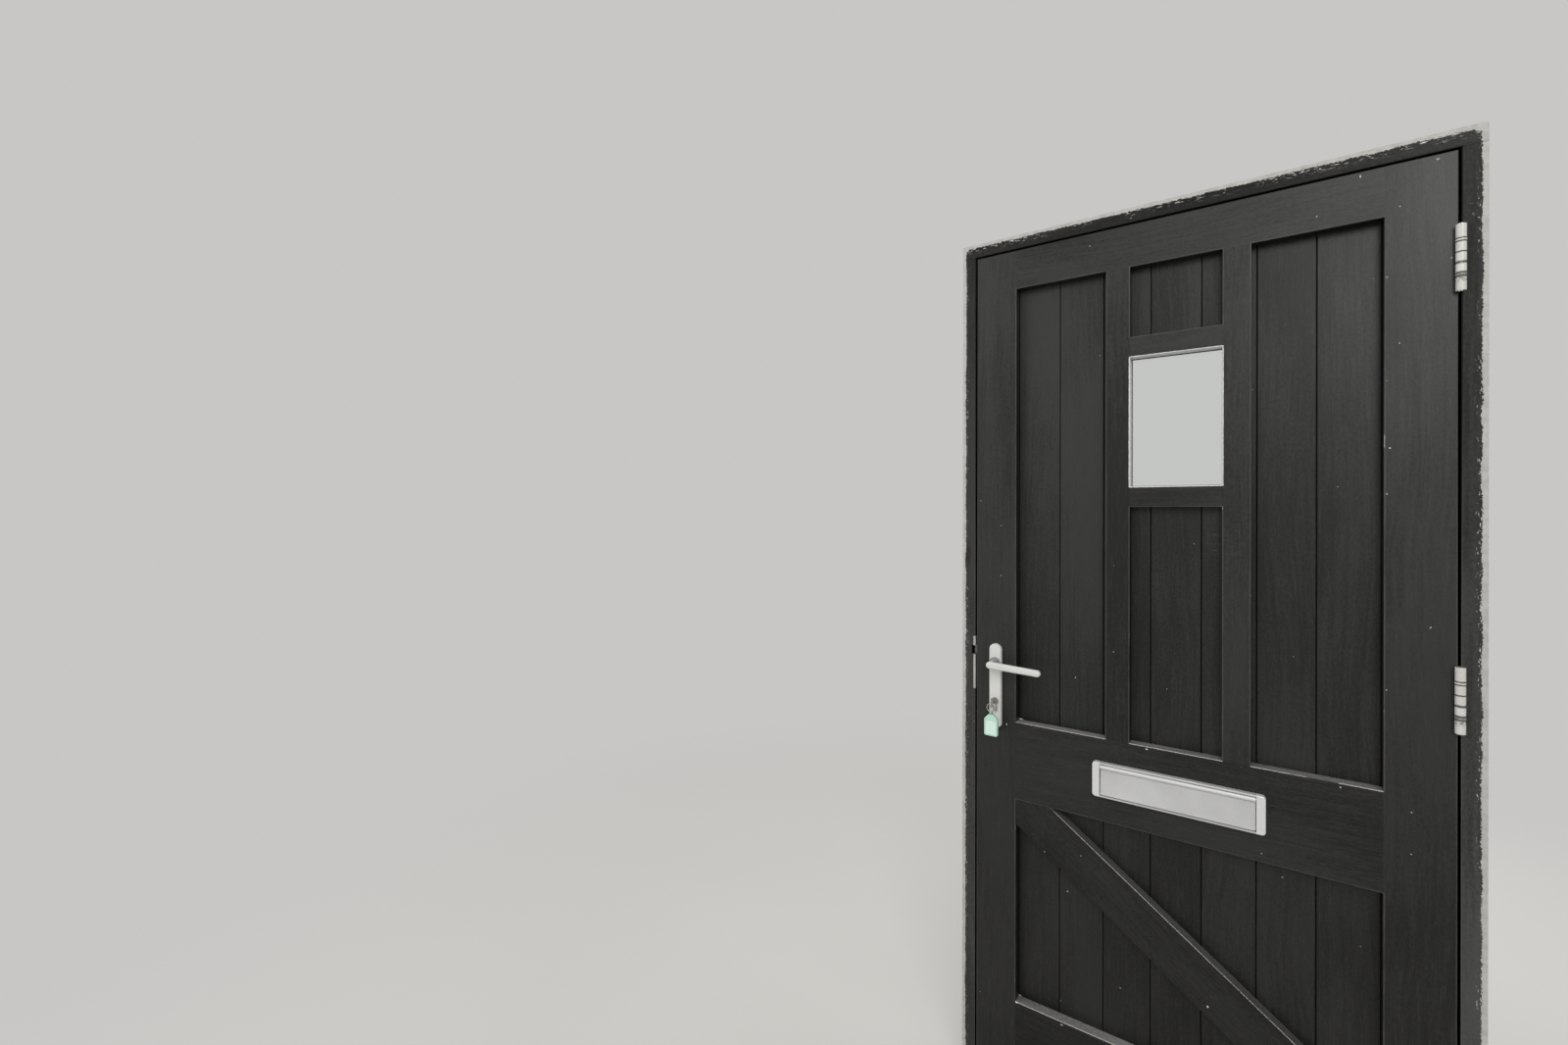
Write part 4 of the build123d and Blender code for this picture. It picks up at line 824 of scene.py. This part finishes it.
def makeFlap(name, node, body, mirror):
    # near its ends the profile shrinks along its own normals, by the depth of a quarter round, and the
    # plate's bottom lifts by another, which rounds its corners
    low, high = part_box("inner_flap")
    profile = flapProfile(low, high)
    ease, corner, half = letterFlap["ease"], letterFlap["corner"], -low.x - letterFlap["pinReach"]
    steps = np.concatenate([half - ease * (1 - np.cos(np.linspace(0, np.pi / 2, 5))),
                            half - np.linspace(ease, corner, 9)[1:], np.linspace(half - corner, 0, 8)[1:-1]])
    x = np.concatenate([-steps, [0.0], steps[::-1]])
    inset, lift = [size - np.sqrt(np.maximum(size ** 2 - np.maximum(np.abs(x) - half + size, 0) ** 2, 0))
                   for size in (ease, corner)]
    grid = carried(x, profile)
    grid[:, :, 1:] -= unitNormals(profile)[None] * inset[:, None, None]
    rise = letterFlap["cornerRise"]
    grid[:, :, 2] += np.clip((low.z + rise - grid[:, :, 2]) / rise, 0, 1) * lift[:, None]
    middle = (low.y + letterFlap["rod"], high.z - letterFlap["rod"])
    pin = carried(np.array([low.x, -low.x]), arc(middle, letterFlap["pin"], 0, 345, 24))
    newPiece(name, [grid, pin], body, made["letterAluminium"], [node], mirror)


makeFlap("innerLetterFlap", "inner_flap", "inner_letter_flap", None)
makeFlap("outerLetterFlap", "outer_flap", "outer_letter_flap", (face + leafBack) / 2)
print("letter flaps made")

# key ring: flat wire wound twice, which crosses from one turn to the other near its ends
keyRing = {"wire": 0.0008, "thick": 0.00043, "crossing": 215.0, "overlap": 16.0}


def makeKeyRing():
    # angle round the ring by angle round the wire; sideways the wire lies a quarter of the ring's depth off
    # its middle, and crosses by 1.5 t less 0.5 t cubed
    low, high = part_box("key_ring")
    middle, radius = (low + high) / 2, (high.x - low.x) / 2 - keyRing["wire"]
    crossing, overlap = keyRing["crossing"], keyRing["overlap"]
    angles = np.linspace(crossing + overlap, crossing + 720 - overlap, 241)[:, None]
    crossed = np.clip((angles - crossing - 360) / overlap, -1, 1)
    sideways = crossed * (1.5 - 0.5 * crossed ** 2) * (high.y - low.y) / 4
    wide, thick = squarish(np.radians(np.arange(0, 360, 20))[None])
    outwards, turn = radius + wide * keyRing["wire"], np.radians(angles)
    grid = np.stack([middle.x + outwards * np.cos(turn),
                     middle.y + sideways + thick * keyRing["thick"],
                     middle.z + outwards * np.sin(turn)], 2)
    newPiece("splitKeyRing", [grid], "tag", made["keyNickel"], ["key_ring"])


makeKeyRing()

# key tag: a rounded body with a sunk label on its front, a sloping neck and a round eye
keyTag = {"bodyHeight": 0.039, "neck": 0.0049, "corner": 0.0038, "edge": 0.0011, "labelMargin": 0.0024,
          "labelDepth": 0.0006, "labelCorner": 0.0012, "eyeHole": 0.0027, "eyeWall": 0.0018,
          "eyeWidth": 0.004, "outlinePoints": 180, "cornerShadeNear": 0.0002, "cornerShadeFar": 0.0008,
          "eyeShadeFrom": 0.006, "eyeShadeFull": 0.002,
          "label": "cde2d8", "cornerShade": "7d9c8d", "eyeShade": "5f6f66"}
tagLow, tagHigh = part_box("key_tag")
halfTag, halfDepth = (tagHigh.x - tagLow.x) / 2, (tagHigh.y - tagLow.y) / 2
halfBody, margin = keyTag["bodyHeight"] / 2, keyTag["labelMargin"]
labelHalf = (halfTag - margin, halfBody - margin)
tagMiddle = ((tagLow.x + tagHigh.x) / 2, (tagLow.y + tagHigh.y) / 2, tagLow.z + halfBody)
eyeHeight = tagHigh.z - keyTag["eyeHole"] - keyTag["eyeWall"] - tagMiddle[2]


def roundedOutline(corners, rounding):
    # straight sides joined by tangent arcs, as points spread evenly along the line; each arc's centre lies
    # in from its corner along both sides' normals
    corners = np.array(corners)
    side = np.roll(corners, -1, 0) - corners
    normal = np.stack([side[:, 1], -side[:, 0]], 1) / np.linalg.norm(side, axis=1)[:, None]
    before = np.roll(normal, 1, 0)
    alike = (before * normal).sum(1)
    centre = corners - rounding * (before + normal) / (1 + alike)[:, None]
    start, sweep = np.arctan2(before[:, 1], before[:, 0])[:, None], np.arccos(alike)[:, None]
    angles = start + sweep * np.linspace(0, 1, 9)
    line = (centre[:, None] + rounding * np.stack([np.cos(angles), np.sin(angles)], 2)).reshape(-1, 2)
    line = np.concatenate([line, line[:1]])
    length = np.concatenate([[0], np.cumsum(np.linalg.norm(np.diff(line, axis=0), axis=1))])
    spots = np.linspace(0, length[-1], keyTag["outlinePoints"], endpoint=False)
    return np.stack([np.interp(spots, length, line[:, 0]), np.interp(spots, length, line[:, 1])], 1)


def tagBody():
    # loops of one outline from the back face over the rounded edge to the front: at each angle of the edge's
    # quarter rounds the loop is inset by 1 less its cosine and lies off by its sine; two label loops follow
    neck, neckHeight = keyTag["neck"], eyeHeight - keyTag["eyeHole"]
    outline = roundedOutline([(halfTag, -halfBody), (halfTag, halfBody), (neck, neckHeight),
                              (-neck, neckHeight), (-halfTag, halfBody), (-halfTag, -halfBody)],
                             keyTag["corner"])
    wide, high = labelHalf
    label = roundedOutline([(wide, -high), (wide, high), (-wide, high), (-wide, -high)],
                           keyTag["labelCorner"])
    quarter, edge = np.radians(np.linspace(90, 0, 6)), keyTag["edge"]
    bend = np.concatenate([quarter, -quarter[::-1]])
    inset = edge * (1 - np.cos(bend))
    flat = outline[None] - unitNormals(outline)[None] * inset[:, None, None]
    flat = np.concatenate([flat, label[None], label[None]])
    depth = np.repeat([halfDepth - edge, edge - halfDepth], len(quarter)) + edge * np.sin(bend)
    depth = np.concatenate([depth, [-halfDepth, keyTag["labelDepth"] - halfDepth]])[:, None]
    return np.stack([tagMiddle[0] + flat[:, :, 0], tagMiddle[1] + depth + 0 * flat[:, :, 0],
                     tagMiddle[2] + flat[:, :, 1]], 2)


def tagEye():
    # a squarish section carried round the eye's hole: angle round the hole by angle round the section
    outwards, aside = squarish(np.radians(np.arange(0, 360, 20))[None])
    turn = np.linspace(0, 2 * np.pi, 49)[:, None]
    reach = keyTag["eyeHole"] + keyTag["eyeWall"] * (0.5 + 0.5 * outwards)
    return np.stack([tagMiddle[0] - aside * keyTag["eyeWidth"] / 2 + 0 * turn,
                     tagMiddle[1] + reach * np.cos(turn),
                     tagMiddle[2] + eyeHeight + reach * np.sin(turn)], 2)


def tagLabelAndShade():
    # the label is paler than its frame, and painted shade darkens the corner round it and the eye
    material = made["tagGreen"]
    tree, place = material.node_tree, patternPlace(material)
    x, _, z = axes(tree, vectors(tree, "ABSOLUTE", vectors(tree, "SUBTRACT", place, tagMiddle)))
    inLabel = times(tree, below(tree, x, labelHalf[0]), below(tree, z, labelHalf[1]))
    layDirtAndLight(material, inLabel, keyTag["label"], 0.85)
    fromLabel = outlineDistance(tree, place, tagMiddle, (labelHalf[0], 0, labelHalf[1]))
    layDirtAndLight(material, ramp(tree, fromLabel, keyTag["cornerShadeNear"], keyTag["cornerShadeFar"], 1.0, 0.0),
         keyTag["cornerShade"], 0.5)
    inEye = ramp(tree, z, eyeHeight - keyTag["eyeShadeFrom"], eyeHeight - keyTag["eyeShadeFull"])
    layDirtAndLight(material, inEye, keyTag["eyeShade"], 0.6)


newPiece("mouldedKeyTag", [tagBody(), tagEye()], "tag", made["tagGreen"], ["key_tag"])
tagLabelAndShade()
print("key ring and tag made")

# studio: the floor's rings and colours, how far from the door it melts into the sky, and the lamps
studio = {"radii": (2.0, 4.0, 8.0, 16.0, 40.0), "spokes": 48, "floor": ("b1afab", "b9b7b3"),
          "roughness": 0.9, "meltFrom": 0.9, "meltTo": 3.4, "sky": (0.575, 0.57, 0.56, 1),
          "zenith": (0.9, 0.9, 0.9, 1)}
lamps = {
    "highRoom": {"place": (1.5, -3.3, 3.1), "aim": (0.1, 0, 1.5), "size": 1.8, "power": 75},
    "windowSide": {"place": (-2.8, -2.2, 2.4), "aim": (0, 0, 1.1), "size": 2.2, "power": 38},
    "outside": {"place": (0.6, 2.8, 2.6), "aim": (0, 0, 1.0), "size": 2.0, "power": 60},
}


def makeFloorMesh():
    # a disc: radius by angle round the origin, with a fan of triangles inside the first ring
    radii, spokes = np.array(studio["radii"]), studio["spokes"]
    angles = np.linspace(0, 2 * np.pi, spokes, endpoint=False)
    rings = np.stack([np.outer(radii, np.cos(angles)), np.outer(radii, np.sin(angles)),
                      np.zeros((len(radii), spokes))], 2)
    points = np.concatenate([np.zeros((1, 3)), rings.reshape(-1, 3)])
    spoke = np.arange(spokes)
    following = (spoke + 1) % spokes
    start = 1 + np.arange(len(radii) - 1)[:, None] * spokes
    quads = np.stack([start + spoke, start + spokes + spoke, start + spokes + following,
                      start + following], 2).reshape(-1, 4)
    fans = np.stack([np.zeros_like(spoke), 1 + spoke, 1 + following], 1)
    mesh = bpy.data.meshes.new("studioFloor")
    mesh.from_pydata(points.tolist(), [], quads.tolist() + fans.tolist())
    return mesh


def makeFloorFinish():
    # pale and cloudy near the door, and the sky's own colour far from it
    material, tree, shader, place = newMaterial("paleFloor")
    cloudy = over(tree, noise(tree, place, 0.9), *[linear(code) for code in studio["floor"]])
    feedAll(tree, shader.inputs, {"Base Color": cloudy, "Roughness": studio["roughness"]})
    glow = newNode(tree, "ShaderNodeEmission", {"Color": studio["sky"]})[0]
    melt = ramp(tree, vectors(tree, "LENGTH", place), studio["meltFrom"], studio["meltTo"])
    blend = newNode(tree, "ShaderNodeMixShader", (melt, shader.outputs[0], glow))[0]
    feed(tree, tree.nodes["Material Output"].inputs["Surface"], blend)
    return material


def placeLamp(name, lamp):
    # an area lamp turned from its place towards its aim, which neither the camera nor glass shows
    lampData = bpy.data.lights.new(name, "AREA")
    lampData.energy, lampData.size = lamp["power"], lamp["size"]
    lampObject = bpy.data.objects.new(name, lampData)
    lampObject.location = lamp["place"]
    lampObject.visible_camera = lampObject.visible_transmission = False
    x, y, z = np.subtract(lamp["place"], lamp["aim"])
    lampObject.rotation_euler = (math.atan2(math.hypot(x, y), z), 0, math.atan2(x, -y))
    bpy.context.collection.objects.link(lampObject)


def makeSky():
    # the sky is flat and pale where it is seen or mirrored, and lights the door more from overhead
    world = bpy.data.worlds.new("softSky")
    bpy.context.scene.world = world
    world.use_nodes = True
    tree = world.node_tree
    upward = axes(tree, newNode(tree, "ShaderNodeTexCoord", ())["Generated"])[2]
    rays = newNode(tree, "ShaderNodeLightPath", ())
    shown = most(tree, rays["Is Camera Ray"], rays["Is Glossy Ray"], rays["Is Transmission Ray"])
    lighting = over(tree, ramp(tree, upward, 0.1, 0.9), studio["sky"], studio["zenith"])
    feed(tree, tree.nodes["Background"].inputs["Color"], over(tree, shown, lighting, studio["sky"]))


floorMesh = makeFloorMesh()
floorMesh.materials.append(makeFloorFinish())
studioFloor = bpy.data.objects.new("studioFloor", floorMesh)
bpy.context.collection.objects.link(studioFloor)
for name, lamp in lamps.items():
    placeLamp(name, lamp)
makeSky()
bpy.context.scene.view_settings.view_transform = "Standard"
print("stage and lamps placed")
